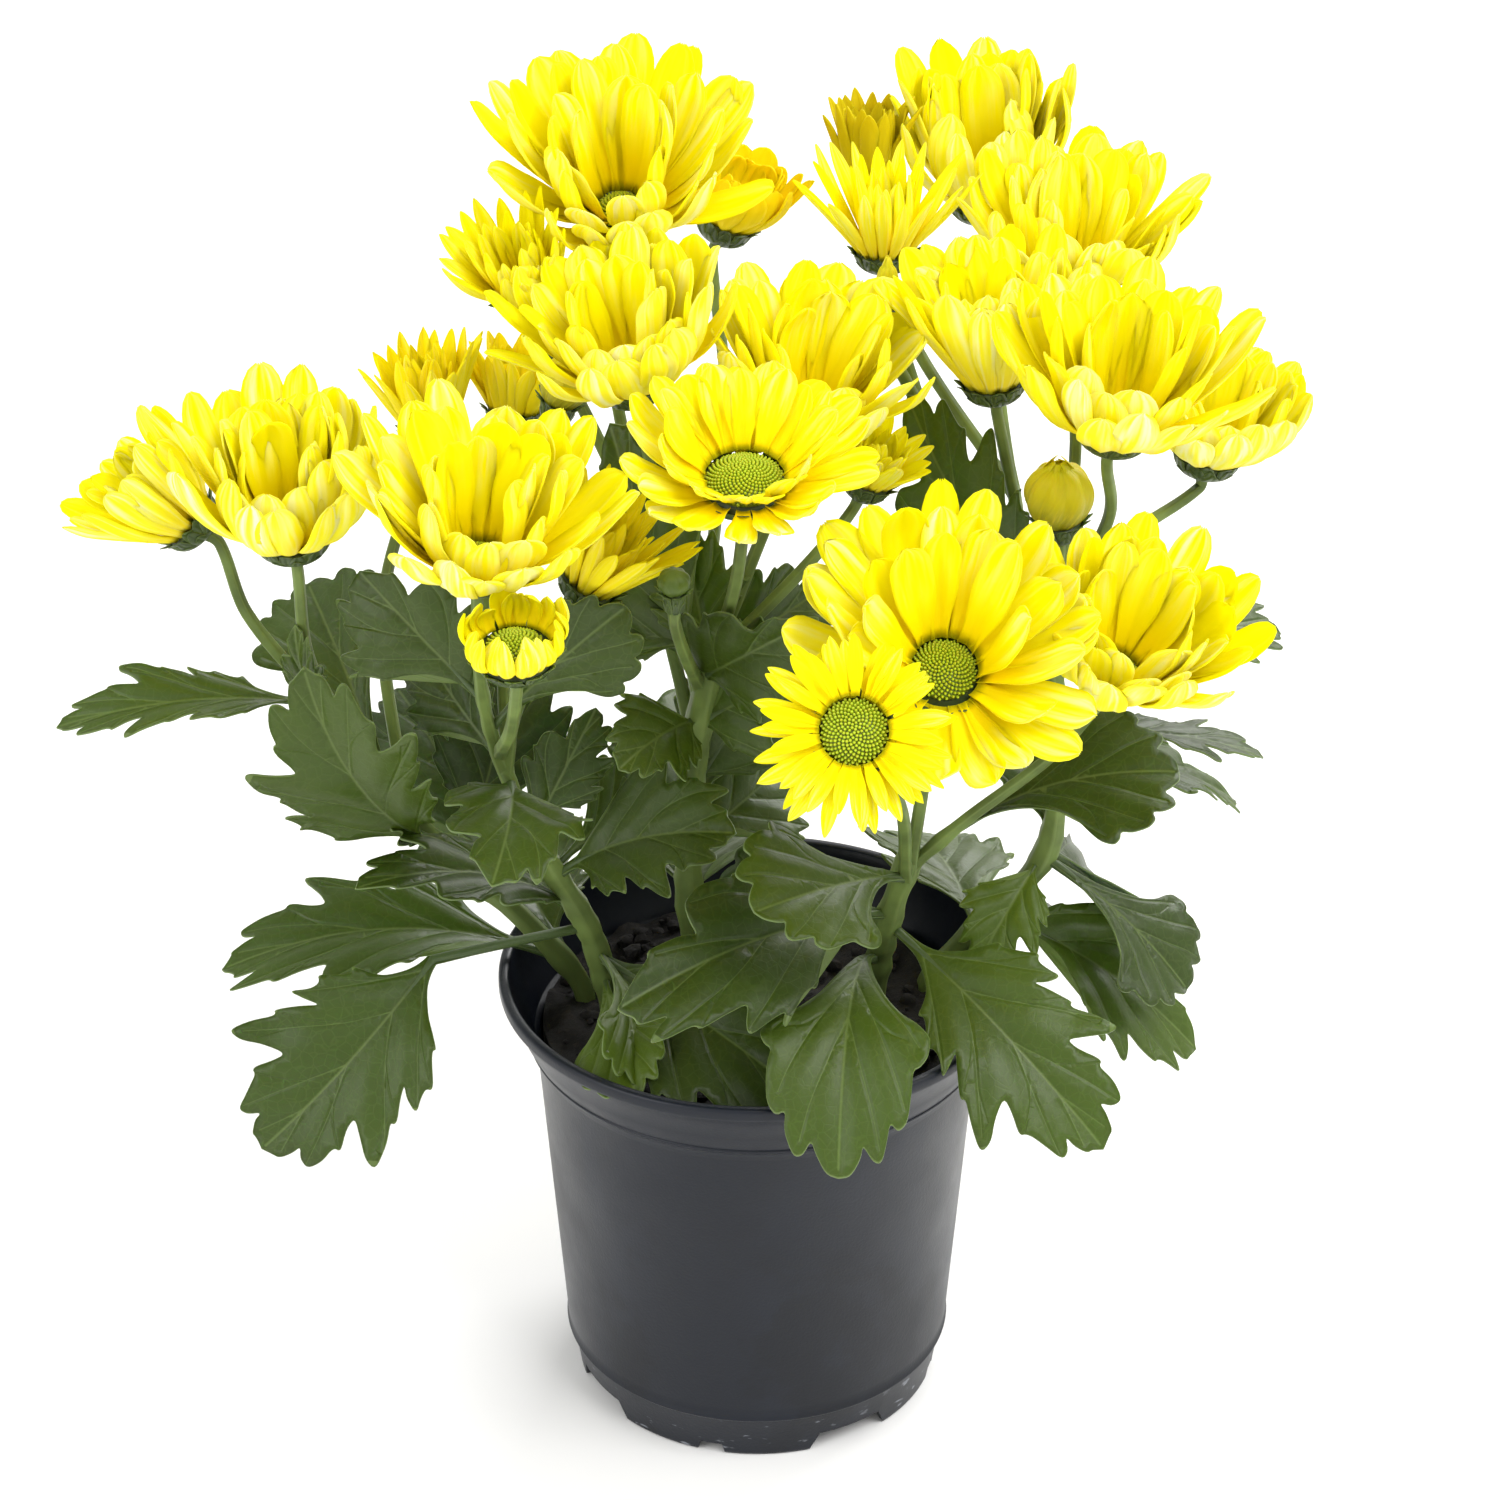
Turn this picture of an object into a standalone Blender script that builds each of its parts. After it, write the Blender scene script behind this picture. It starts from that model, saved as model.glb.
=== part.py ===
"""Pot chrysanthemum: a nursery pot of soil with five leafy stems, their yellow blooms and their buds.

Lengths below are in millimetres and are turned into metres where a mesh is made. The origin is the middle of the
pot's base, +Z is up, and the side with the most blooms faces -Y.
"""

import math
import random
from dataclasses import dataclass

import bmesh
import bpy
from mathutils import Matrix, Vector

MM = 0.001
SEED = 7
GAP = 0.3

POT_HEIGHT = 118.0
LIP_RADIUS = 65.0
LIP_DEPTH = 3.5
COLLAR_TOP_RADIUS = 63.5
COLLAR_FOOT_RADIUS = 57.8
COLLAR_FOOT = 100.4
BODY_TOP_RADIUS = 56.1
BODY_FOOT_RADIUS = 49.4
SKIRT_TOP = 13.0
SKIRT_TOP_RADIUS = 47.2
FOOT_RADIUS = 46.0
WALL = 1.4
FLOOR_UNDERSIDE = 6.0
CENTRE_PAD_RADIUS = 12.0
POT_STEPS = 24

FOOT_CUT_PERIOD = 90.0
NARROW_CUT_AT = -14.5
NARROW_CUT_WIDTH = 7.2
NARROW_CUT_HEIGHT = 3.0
WIDE_CUT_AT = 30.5
WIDE_CUT_WIDTH = 22.0
WIDE_CUT_HEIGHT = 5.2
DRAIN_RADIUS = 4.0
DRAIN_RING = 32.0
DRAIN_COUNT = 4

SOIL_TOP = 104.0
SOIL_EDGE = 50.0
SOIL_ROUGHNESS = 1.2
STEM_DEPTH = 26.0
HOLE_SIDES = 8
CUT_MARGIN = 10.0

PETAL_THICKNESS = 0.8
LEAF_THICKNESS = 0.8
RING_PITCH = 1.6
RING_WIDTH = 1.5
RING_CLEARANCE = 1.0
PETAL_LIFT = 0.75
INNER_SHORTER = 0.15
WALL_MARGIN = 1.0
STEEPEST = 80.0
CALYX_DEPTH = 5.0
CALYX_SIDES = 6
WIDE_DISC = 5.9
STALK_RADIUS = 1.8
STALK_SINK = 1.5


@dataclass
class Stem:
    """A stem of the plant, from its foot in the soil up to where its last stalk leaves it."""

    name: str
    foot: tuple
    path: list
    radius: float


@dataclass
class Bloom:
    """One flower head. lean is how far its axis moves along X and Y for each unit that it rises.

    low and high are how steeply the first and the last petal rise, ring the petals in one turn, curl how much
    steeper a petal's tip is than its base. The petals of a strap bloom are narrow and of one width, and those of a
    closed one hide its disc.
    """

    name: str
    stem: str
    calyx: tuple
    lean: tuple
    stalk: list
    length: float
    width: float
    low: float
    high: float
    disc: float = 5.5
    ring: float = 8.5
    count: int = 15
    curl: float = 12.0
    strap: bool = False
    closed: bool = False


@dataclass
class Bud:
    """A closed bud: an egg of folded petals, or a green one that belongs to its stem."""

    name: str
    stem: str
    calyx: tuple
    lean: tuple
    stalk: list
    radius: float
    height: float
    green: bool = False


@dataclass
class Leaf:
    """One leaf. face is the way its upper side looks, droop how far its middle stands above its ends.

    A leaf with a knee has a long stalk of its own, which ends there.
    """

    stem: str
    root: tuple
    tip: tuple
    width: float
    face: tuple
    droop: float = 0.10
    toothed: bool = True
    knee: tuple = None


STEMS = [
    Stem("left", (-44, 9), [(-48, 8, 113), (-66, 2, 139), (-81, -2, 157), (-97, -6, 185), (-106, -8, 200)], 2.8),
    Stem("centre_left", (-36, -6), [(-38, -7, 118), (-42, -9, 135), (-53, -14, 160)], 3.2),
    Stem("centre", (-14, 8), [(-17, 5, 134), (-16, 0, 174), (-10, -8, 214)], 3.4),
    Stem("right_front", (29, 2), [(30, -4, 120), (32, -12, 138), (37, -20, 162)], 3.3),
    Stem("right_back", (44, 14), [(51, 16, 113), (60, 15, 124), (73, 10, 148), (73, 9, 185), (70, 8, 213)], 3.0),
]

BLOOMS = [
    Bloom("top_left", "centre", (-33, 50, 300), (0, -0.42), [(-15, 0, 180), (-28, 25, 230), (-36, 42, 270)],
          40.5, 11.5, 36, 68, count=14),
    Bloom("top_left_small", "centre", (-56, 28, 289), (-0.2, -0.35), [(-26, 24, 222), (-43, 38, 255)],
          20, 5.5, 58, 76, disc=4.5, ring=9.5, count=12, strap=True),
    Bloom("top_back_small", "centre", (-8, 85, 283), (0.4, 0.05), [(-16, 3, 188), (-8, 60, 245)],
          20, 8, 52, 76, disc=4.5, ring=7.5, count=10),
    Bloom("top_cup", "right_back", (28, 92, 294), (0.0, 0.1), [(64, 48, 226), (38, 82, 255)],
          18, 6, 74, 84, disc=4.0, ring=8.5, count=10, curl=2, strap=True, closed=True),
    Bloom("top_centre", "right_back", (31, 60, 286), (0, -0.05), [(71, 9, 198), (45, 40, 240)],
          25, 5.0, 56, 80, disc=4.5, ring=9.5, count=14, curl=6, strap=True),
    Bloom("top_right_back", "right_back", (57, 97, 284), (-0.05, 0.0), [(72, 10, 192), (62, 60, 235)],
          38, 11, 56, 76, count=12),
    Bloom("top_right", "right_back", (77, 62, 277), (0.08, -0.15), [(70, 9, 203), (78, 40, 240)],
          34, 11, 42, 70, count=13),
    Bloom("right_upright", "right_back", (56, 18, 270), (-0.12, -0.05), [(70, 8, 208), (63, 13, 235)],
          35, 10.5, 56, 78, disc=4.5, ring=7.5, count=12, curl=6),
    Bloom("right_large", "right_back", (82, -12, 271), (0.12, -0.15), [(70, 8, 211), (83, 3, 240)],
          37, 12, 42, 74, count=14),
    Bloom("right_far", "right_back", (109, 30, 245), (0.16, -0.05), [(70, 8, 209), (88, 15, 229)],
          28, 10.5, 40, 70, count=12),
    Bloom("centre_front", "centre", (-3, -40, 271), (0, -0.29), [(-10, -8, 212), (-5, -28, 240)],
          24, 9.2, 26, 50, disc=8.7, ring=9.5, count=15),
    Bloom("centre_back", "centre", (12, 5, 267), (0.15, -0.15), [(-11, -6, 206), (2, 1, 240)],
          33, 11.5, 40, 72, count=13),
    Bloom("centre_leaning", "centre", (-29, 0, 278), (-0.18, -0.15), [(-14, -3, 196), (-23, 2, 242)],
          33, 11.5, 40, 72, count=14),
    Bloom("centre_small", "centre", (26, 0, 253), (0.40, -0.15), [(-9, -8, 211), (8, -6, 229), (18, -3, 240)],
          13.5, 4.8, 58, 80, disc=3.5, ring=8.5, count=10, curl=4, strap=True),
    Bloom("far_left", "left", (-133, -8, 246), (-1.05, -0.05), [(-105, -8, 198), (-121, -9, 222)],
          26, 7.5, 60, 80, disc=4.5, ring=7.5, count=12, curl=6),
    Bloom("left_large", "left", (-107, -25, 250), (-0.05, -0.12), [(-98, -6, 187), (-106, -17, 214)],
          34.5, 11.5, 52, 76, count=14),
    Bloom("left_back_narrow", "left", (-80, 42, 247), (-0.1, 0.05), [(-86, -3, 166), (-92, 18, 204), (-88, 34, 224)],
          22, 5.8, 66, 84, disc=4.5, ring=9.5, count=11, curl=4, strap=True),
    Bloom("left_back_bronze", "left", (-60, 52, 247), (0.1, 0.1), [(-73, 0, 148), (-68, 26, 200), (-64, 42, 226)],
          17.5, 6.2, 64, 82, disc=4.5, ring=9.5, count=11, curl=4, strap=True),
    Bloom("centre_left_large", "centre_left", (-62, -55, 258), (0.12, -0.22),
          [(-50, -13, 153), (-61, -25, 191), (-64, -38, 218)],
          35, 12.2, 42, 72, disc=6.0, count=15),
    Bloom("centre_left_half", "centre_left", (-39, -30, 241), (0.55, -0.12),
          [(-60, -24, 188), (-57, -28, 205), (-50, -30, 222)],
          22.5, 4.6, 60, 82, disc=4.5, ring=9.5, count=12, curl=4, strap=True),
    Bloom("centre_left_opening", "centre_left", (-53, -82, 250), (0, -0.30), [(-61, -26, 194), (-56, -58, 218)],
          12, 4.4, 58, 70, disc=6.5, ring=10.5, count=12, curl=34, strap=True),
    Bloom("right_front_large", "right_front", (42, -55, 231), (0.06, -0.75), [(37, -20, 158), (40, -32, 195)],
          36, 11.2, 10, 44, disc=7.3, ring=9.5, count=16),
    Bloom("front_daisy", "right_front", (21, -87, 233), (-0.05, -1.25), [(36, -19, 155), (33, -48, 192)],
          16.5, 4.7, 0, 14, disc=7.3, ring=11.5, count=18, curl=-8),
    Bloom("right_low", "right_front", (82, -40, 222), (0.28, -0.36), [(37, -20, 159), (50, -25, 175), (69, -30, 195)],
          32.5, 11, 44, 70, count=14),
]

BUDS = [
    Bud("left_back_opening", "centre_left", (-47, 14, 266), (0.3, 0), [(-60, -22, 186), (-60, 0, 225)], 5.6, 12),
    Bud("right_closed", "right_back", (71, -4, 244), (-0.05, -0.1), [(70, 8, 210), (71, 2, 227)], 7.4, 15),
    Bud("centre_thin", "right_back", (31, 35, 281), (0, 0), [(48, 37, 236), (36, 35, 262)], 2.6, 12),
    Bud("centre_green", "centre", (-19, -45, 246), (0, -0.2), [(-14, -4, 200), (-17, -30, 222)], 3.4, 6, green=True),
]

LEAVES = [
    Leaf("left", (-104, -8, 197), (-167, -18, 196), 22, (0.1, -0.25, 1)),
    Leaf("left", (-78, -1, 154), (-106, -28, 218), 46, (-0.3, -1, 0.3)),
    Leaf("left", (-77, -1, 152), (-95, -10, 168), 18, (0, -0.4, 1), toothed=False),
    Leaf("left", (-50, 7, 116), (-134, -4, 119), 36, (0, -0.3, 1)),
    Leaf("left", (-104, -8, 197), (-108, -22, 226), 14, (-0.6, -1, 0), toothed=False),
    Leaf("left", (-66, 2, 139), (-92, 50, 170), 42, (-0.5, 0.3, 1), toothed=False),
    Leaf("left", (-48, 8, 115), (-68, 60, 122), 42, (-0.2, 0.4, 1), toothed=False),
    Leaf("left", (-90, -4, 172), (-112, 40, 205), 38, (-0.5, 0.4, 1), toothed=False),
    Leaf("left", (-74, 0, 148), (-62, 34, 196), 38, (0.2, -0.8, 0.6), toothed=False),
    Leaf("centre_left", (-59, -23, 184), (-61, -68, 182), 38, (0, -0.45, 1)),
    Leaf("centre_left", (-45, -10, 141), (-96, -36, 162), 30, (0.2, -0.2, 1)),
    Leaf("centre_left", (-42, -9, 135), (-121, -46, 94), 50, (-0.3, -1, 0.6), knee=(-79, -26, 136)),
    Leaf("centre_left", (-40, -8, 128), (-29, -50, 115), 22, (0.5, 0, 1), toothed=False),
    Leaf("centre_left", (-49, -13, 152), (-5, -25, 171), 40, (0.1, -0.7, 1)),
    Leaf("centre_left", (-64, -36, 214), (-92, -26, 242), 38, (-0.4, -1, 0.4)),
    Leaf("centre_left", (-62, -30, 203), (-30, -40, 240), 30, (0.5, -1, 0.7), toothed=False),
    Leaf("centre_left", (-40, -8, 126), (14, -48, 108), 50, (0.1, -0.8, 1), toothed=False),
    Leaf("centre", (-17, 4, 140), (-20, 60, 165), 44, (0, 0.5, 1), toothed=False),
    Leaf("centre", (-17, 5, 132), (-12, 62, 124), 42, (0, 0.5, 1), toothed=False),
    Leaf("centre", (-16, 1, 160), (14, 50, 190), 44, (0.3, 0.4, 1), toothed=False),
    Leaf("centre", (-14, -4, 203), (-35, 12, 262), 32, (-0.3, -1, 0.3), toothed=False),
    Leaf("centre", (-14, -4, 202), (14, -30, 232), 36, (0.4, -1, 0.6)),
    Leaf("centre", (-15, -2, 188), (22, -14, 212), 36, (0.3, -1, 0.6), toothed=False),
    Leaf("centre", (-16, 0, 170), (8, 20, 206), 40, (0.3, -1, 0.4), toothed=False),
    Leaf("right_front", (33, -13, 141), (-33, -64, 146), 44, (0, -0.8, 1)),
    Leaf("right_front", (36, -19, 155), (-1, -63, 172), 40, (0, -0.8, 1)),
    Leaf("right_front", (30, -4, 122), (19, -77, 107), 40, (0, -0.4, 1), droop=0.30),
    Leaf("right_front", (33, -12, 137), (84, -52, 98), 46, (0.3, -1, 0.7)),
    Leaf("right_front", (44, -23, 168), (100, -27, 189), 40, (0.1, -0.5, 1)),
    Leaf("right_back", (60, 15, 124), (112, 4, 90), 38, (0.5, -0.6, 1)),
    Leaf("right_back", (71, 11, 144), (108, -2, 112), 36, (0.6, -0.6, 1)),
    Leaf("right_back", (72, 10, 146), (93, 40, 96), 36, (0.8, 0.3, 1), toothed=False),
    Leaf("right_back", (73, 9, 176), (125, 10, 172), 28, (0.3, 0.2, 1)),
    Leaf("right_back", (73, 9, 170), (120, 24, 152), 32, (0.4, 0.2, 1)),
    Leaf("right_back", (71, 9, 205), (130, 30, 196), 34, (0.3, -0.2, 1)),
    Leaf("right_back", (68, 10, 210), (36, 28, 262), 36, (-0.4, -1, 0.4), toothed=False),
    Leaf("right_back", (73, 10, 150), (50, 60, 175), 44, (-0.2, 0.5, 1), toothed=False),
    Leaf("right_back", (56, 16, 118), (40, 68, 116), 42, (0, 0.5, 1), toothed=False),
    Leaf("centre", (-14, -3, 190), (-33, -26, 189), 27, (-0.2, -1, 0.6), toothed=False),
    Leaf("centre_left", (-54, -18, 168), (-39, -4, 194), 24, (0.3, -1, 0.3), toothed=False),
    Leaf("centre_left", (-50, -13, 154), (-30, 10, 168), 26, (0.2, -1, 0.6), toothed=False),
    Leaf("centre", (-11, -7, 211), (18, 14, 220), 30, (0.2, -1, 0.3), toothed=False),
    Leaf("centre", (-12, -6, 206), (-18, 4, 238), 26, (0, -1, 0.2), toothed=False),
    Leaf("centre", (-11, -7, 209), (-45, 14, 222), 34, (0, -1, 0.3), toothed=False),
    Leaf("centre", (-16, -1, 176), (14, 28, 182), 34, (0, -1, 0.4), toothed=False),
    Leaf("centre_left", (-61, -25, 191), (-80, -2, 208), 26, (-0.2, -1, 0.4), toothed=False),
    Leaf("right_back", (71, 11, 143), (55, -8, 124), 24, (0.2, -0.6, 1), toothed=False),
    Leaf("right_back", (60, 15, 124), (98, 42, 86), 36, (0.3, 0.2, 1), toothed=False),
    Leaf("centre_left", (-38, -7, 119), (-29, -53, 114), 26, (-0.5, -0.5, 1), toothed=False),
    Leaf("right_front", (31, -9, 130), (-10, 12, 134), 36, (0, -0.6, 1), toothed=False),
    Leaf("centre", (-17, 4, 150), (8, 34, 158), 34, (0.2, -0.8, 0.6), toothed=False),
]

# Half of a leaf's outline: how far along the leaf, and how far out of half its width
TOOTHED_EDGE = [(0.24, 0.16), (0.33, 0.62), (0.45, 0.82), (0.48, 0.46), (0.57, 1.0), (0.70, 0.90), (0.69, 0.46),
                (0.83, 0.62), (0.88, 0.30)]
PLAIN_EDGE = [(0.24, 0.18), (0.40, 0.80), (0.50, 0.55), (0.64, 1.0), (0.84, 0.52)]
MIDRIB = [0.82, 0.58, 0.36]
KNEE_SHARE = 0.16
PETIOLE_HALF_WIDTH = 1.3
MIDRIB_BOW = 0.05


# Scene and materials

def clear_scene():
    for obj in list(bpy.data.objects):
        bpy.data.objects.remove(obj)


def new_collection(name):
    collection = bpy.data.collections.new(name)
    bpy.context.scene.collection.children.link(collection)
    return collection


def principled(name, colour, roughness, metallic=0.0):
    material = bpy.data.materials.new(name)
    material.use_nodes = True
    shader = material.node_tree.nodes["Principled BSDF"]
    shader.inputs["Base Color"].default_value = (*colour, 1)
    shader.inputs["Roughness"].default_value = roughness
    shader.inputs["Metallic"].default_value = metallic
    return material


def object_from(bm, name, collection, material=None):
    """Turns a bmesh into an object, with its faces looking outwards."""
    bmesh.ops.recalc_face_normals(bm, faces=bm.faces)
    mesh = bpy.data.meshes.new(name)
    bm.to_mesh(mesh)
    bm.free()
    if material:
        mesh.materials.append(material)
    obj = bpy.data.objects.new(name, mesh)
    collection.objects.link(obj)
    return obj


def evaluated_copy(obj, name, collection):
    """The object with its modifiers applied, as a mesh whose loose caps are welded. The original is removed."""
    bpy.context.view_layer.update()
    graph = bpy.context.evaluated_depsgraph_get()
    mesh = bpy.data.meshes.new_from_object(obj.evaluated_get(graph))
    bm = bmesh.new()
    bm.from_mesh(mesh)
    bmesh.ops.remove_doubles(bm, verts=bm.verts, dist=1e-6)
    bmesh.ops.recalc_face_normals(bm, faces=bm.faces)
    bm.to_mesh(mesh)
    bm.free()
    made = bpy.data.objects.new(name, mesh)
    made.matrix_world = obj.matrix_world.copy()
    collection.objects.link(made)
    bpy.data.objects.remove(obj)
    return made


def keep_largest(obj):
    """Drops the loose scraps that a union leaves where thin shapes cross."""
    bm = bmesh.new()
    bm.from_mesh(obj.data)
    left = set(bm.verts)
    bodies = []
    while left:
        body = {left.pop()}
        front = list(body)
        while front:
            near = {edge.other_vert(v) for v in front for edge in v.link_edges} - body
            body |= near
            front = list(near)
        left -= body
        bodies.append(body)
    largest = max(bodies, key=len)
    scraps = [v for body in bodies if body is not largest for v in body]
    bmesh.ops.delete(bm, geom=scraps, context="VERTS")
    bm.to_mesh(obj.data)
    bm.free()


# Shapes

def turned(profile, steps):
    """A profile of (radius, height) turned round Z, from one point on the axis to another."""
    bm = bmesh.new()
    points = [bm.verts.new((radius * MM, 0, height * MM)) for radius, height in profile]
    edges = [bm.edges.new(pair) for pair in zip(points, points[1:])]
    bmesh.ops.spin(bm, geom=points + edges, axis=(0, 0, 1), cent=(0, 0, 0), angle=math.tau, steps=steps)
    bmesh.ops.remove_doubles(bm, verts=bm.verts, dist=1e-6)
    return bm


def ridge(bm, steps, depth, alternate):
    """Pushes every other column of vertices out and the rest in, and swaps them row by row where alternate is set."""
    rows = sorted({round(v.co.z / MM, 2) for v in bm.verts})
    for v in bm.verts:
        around = math.atan2(v.co.y, v.co.x)
        wave = math.cos(around * steps / 2)
        if alternate and rows.index(round(v.co.z / MM, 2)) % 2:
            wave = -wave
        flat = Vector((v.co.x, v.co.y, 0))
        v.co += flat * depth * wave


def screw(name, profile, steps, collection, material):
    """A closed profile turned by a Screw modifier. It starts on the axis and runs down its outer side."""
    bm = bmesh.new()
    points = [bm.verts.new((radius * MM, 0, height * MM)) for radius, height in profile]
    for pair in zip(points, points[1:]):
        bm.edges.new(pair)
    mesh = bpy.data.meshes.new(name)
    bm.to_mesh(mesh)
    bm.free()
    mesh.materials.append(material)
    obj = bpy.data.objects.new(name, mesh)
    collection.objects.link(obj)
    turn = obj.modifiers.new("Turn", "SCREW")
    turn.steps = steps
    turn.render_steps = steps
    turn.use_merge_vertices = True
    turn.merge_threshold = 0.00001
    return obj


def tube(name, path, radius, collection, end_share=1.0, pieces=1):
    """A round stalk through the path's points, tapering to end_share of its radius, as a closed mesh.

    Each span is drawn in this many pieces. Where they are more than one, the first span stays straight.
    """
    curve = bpy.data.curves.new(name, "CURVE")
    curve.dimensions = "3D"
    curve.bevel_depth = radius * MM
    curve.bevel_resolution = 1
    curve.resolution_u = pieces
    curve.use_fill_caps = True
    spline = curve.splines.new("BEZIER")
    spline.bezier_points.add(len(path) - 1)
    for index, (point, place) in enumerate(zip(spline.bezier_points, path)):
        point.co = Vector(place) * MM
        handle = "VECTOR" if index < 2 else "AUTO"
        point.handle_left_type = handle
        point.handle_right_type = handle
        point.radius = 1 + (end_share - 1) * index / (len(path) - 1)
    obj = bpy.data.objects.new(name, curve)
    collection.objects.link(obj)
    return evaluated_copy(obj, name, collection)


def thicken(obj, thickness):
    solid = obj.modifiers.new("Thickness", "SOLIDIFY")
    solid.thickness = thickness * MM
    solid.offset = 0
    return solid


def cutter(bm, name, collection):
    obj = object_from(bm, name, collection)
    obj.hide_render = True
    obj.display_type = "WIRE"
    return obj


def cut(obj, other, name):
    modifier = obj.modifiers.new(name, "BOOLEAN")
    modifier.operation = "DIFFERENCE"
    modifier.object = other
    return modifier


# Frames of the flower heads

def axis_of(head):
    return Vector((*head.lean, 1)).normalized()


def frame_of(head):
    """A head's own frame: its origin on top of the calyx, its Z along the flower's axis."""
    turn = Vector((0, 0, 1)).rotation_difference(axis_of(head)).to_matrix().to_4x4()
    return Matrix.Translation(Vector(head.calyx) * MM) @ turn


def reach_of(bloom):
    return bloom.length + bloom.disc


def heart_of(bloom):
    """The middle of the bloom's cup, which its share of the room is measured from."""
    rise = 0.5 * bloom.length * math.sin(middle_rise(bloom))
    return Vector(bloom.calyx) + axis_of(bloom) * rise


def walls_round(bloom):
    """Planes between a bloom and each near one. Each bloom keeps to its own side, as crowded petals do."""
    walls = []
    for other in BLOOMS:
        if other is bloom:
            continue
        between = heart_of(other) - heart_of(bloom)
        if between.length > reach_of(other) + reach_of(bloom):
            continue
        share = reach_of(bloom) / (reach_of(bloom) + reach_of(other))
        walls.append((heart_of(bloom) + between * share, between.normalized()))
    return walls


def is_clear(points, walls):
    return all((point - place).dot(away) < -WALL_MARGIN for point in points for place, away in walls)


# Petals

def middle_rise(bloom):
    return math.radians(bloom.low + bloom.high) / 2


def outer_radius(bloom):
    """How far out the lowest turn of petals grows. The calyx under it reaches as far."""
    turns = bloom.count / bloom.ring
    return bloom.disc + RING_CLEARANCE + RING_PITCH * turns * math.sin(middle_rise(bloom))


def petal_points(bloom, base, around, rise, length, to_world):
    """The four outer corners of a petal, in the bloom's frame, and the same in the world, in millimetres."""
    out = Vector((math.cos(around), math.sin(around), 0))
    side = Vector((-math.sin(around), math.cos(around), 0))
    up = Vector((0, 0, 1))
    tip_rise = rise + math.radians(bloom.curl)
    widest = base + (out * math.cos(rise) + up * math.sin(rise)) * length * 0.60
    tip = widest + (out * math.cos(tip_rise) + up * math.sin(tip_rise)) * length * 0.40
    half = bloom.width / 2
    tip_half = half * (0.8 if bloom.strap else 0.5)
    corners = [widest - side * half, widest + side * half, tip - side * tip_half, tip + side * tip_half]
    return corners, [to_world @ (corner * MM) / MM for corner in corners]


def bent_clear(bloom, base, around, rise, length, to_world, walls):
    """Raises a petal, and then shortens it, until it keeps to its own bloom's side of every wall."""
    while True:
        corners, world = petal_points(bloom, base, around, rise, length, to_world)
        if is_clear(world, walls) or length < 0.45 * bloom.length:
            return corners, rise
        if rise < math.radians(STEEPEST):
            rise += math.radians(4)
        else:
            length *= 0.93


def petal_sheet(bloom):
    """The bloom's petals as one open sheet: a narrow ribbon wound round the disc, a petal growing from each piece."""
    chance = random.Random(f"{SEED} {bloom.name}")
    to_world = frame_of(bloom)
    walls = walls_round(bloom)
    bm = bmesh.new()
    lower, upper, centres = [], [], []
    for index in range(bloom.count + 1):
        around = math.tau * index / bloom.ring
        wound = index / bloom.ring
        radius = outer_radius(bloom) - RING_PITCH * wound * math.sin(middle_rise(bloom))
        height = PETAL_LIFT + RING_PITCH * wound * math.cos(middle_rise(bloom))
        rise = math.radians(bloom.low + (bloom.high - bloom.low) * index / bloom.count)
        out = Vector((math.cos(around), math.sin(around), 0))
        foot = out * radius + Vector((0, 0, height))
        head = foot + out * RING_WIDTH * math.cos(rise) + Vector((0, 0, RING_WIDTH * math.sin(rise)))
        lower.append(bm.verts.new(foot * MM))
        upper.append(bm.verts.new(head * MM))
        centres.append(head)
    rises = []
    before = math.floor(bloom.ring)
    for index in range(bloom.count):
        around = math.tau * (index + 0.5) / bloom.ring
        rise = math.radians(bloom.low + (bloom.high - bloom.low) * index / bloom.count + chance.uniform(-4, 4))
        under = [rises[i] for i in (index - before - 1, index - before) if i >= 0]
        rise = max([rise] + [lowest + math.radians(7) for lowest in under])
        base = (centres[index] + centres[index + 1]) / 2
        length = bloom.length * chance.uniform(0.92, 1.05) * (1 - INNER_SHORTER * index / bloom.count)
        corners, rise = bent_clear(bloom, base, around, rise, length, to_world, walls)
        rises.append(rise)
        bm.faces.new((lower[index], lower[index + 1], upper[index + 1], upper[index]))
        if bloom.strap:
            corners = corners[2:]
        row = (upper[index], upper[index + 1])
        for right, left in zip(corners[1::2], corners[::2]):
            next_row = (bm.verts.new(left * MM), bm.verts.new(right * MM))
            bm.faces.new((*row, next_row[1], next_row[0]))
            row = next_row
    bmesh.ops.triangulate(bm, faces=bm.faces)
    return bm


def make_petals(bloom, collection, material):
    obj = object_from(petal_sheet(bloom), f"petals_{bloom.name}", collection, material)
    obj.matrix_world = frame_of(bloom)
    thicken(obj, PETAL_THICKNESS)
    return obj


def make_disc(bloom, collection, material):
    """The dome of florets, with its relief, resting just above the calyx."""
    r = bloom.disc
    profile = [(0, GAP), (r, GAP + 0.6), (r * 0.86, 2.8), (r * 0.45, 3.9), (0, 4.2)]
    steps = 8 if r > WIDE_DISC else 6
    bm = turned(profile, steps)
    ridge(bm, steps, 0.05, alternate=True)
    obj = object_from(bm, f"disc_{bloom.name}", collection, material)
    obj.matrix_world = frame_of(bloom)
    return obj


# Stems

def calyx(head, radius, collection):
    """The green cup under a flower head, with the tips of its sepals standing up round the edge."""
    profile = [(0, -CALYX_DEPTH), (radius * 0.55, -CALYX_DEPTH), (radius, 0), (0, 0)]
    obj = object_from(turned(profile, CALYX_SIDES), "calyx", collection)
    obj.matrix_world = frame_of(head)
    return obj


def bud_profile(bud, foot, foot_share):
    return [(0, foot), (bud.radius * foot_share, foot), (bud.radius * 0.95, bud.height * 0.35),
            (bud.radius * 0.85, bud.height * 0.68), (bud.radius * 0.4, bud.height * 0.94), (0, bud.height)]


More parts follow.
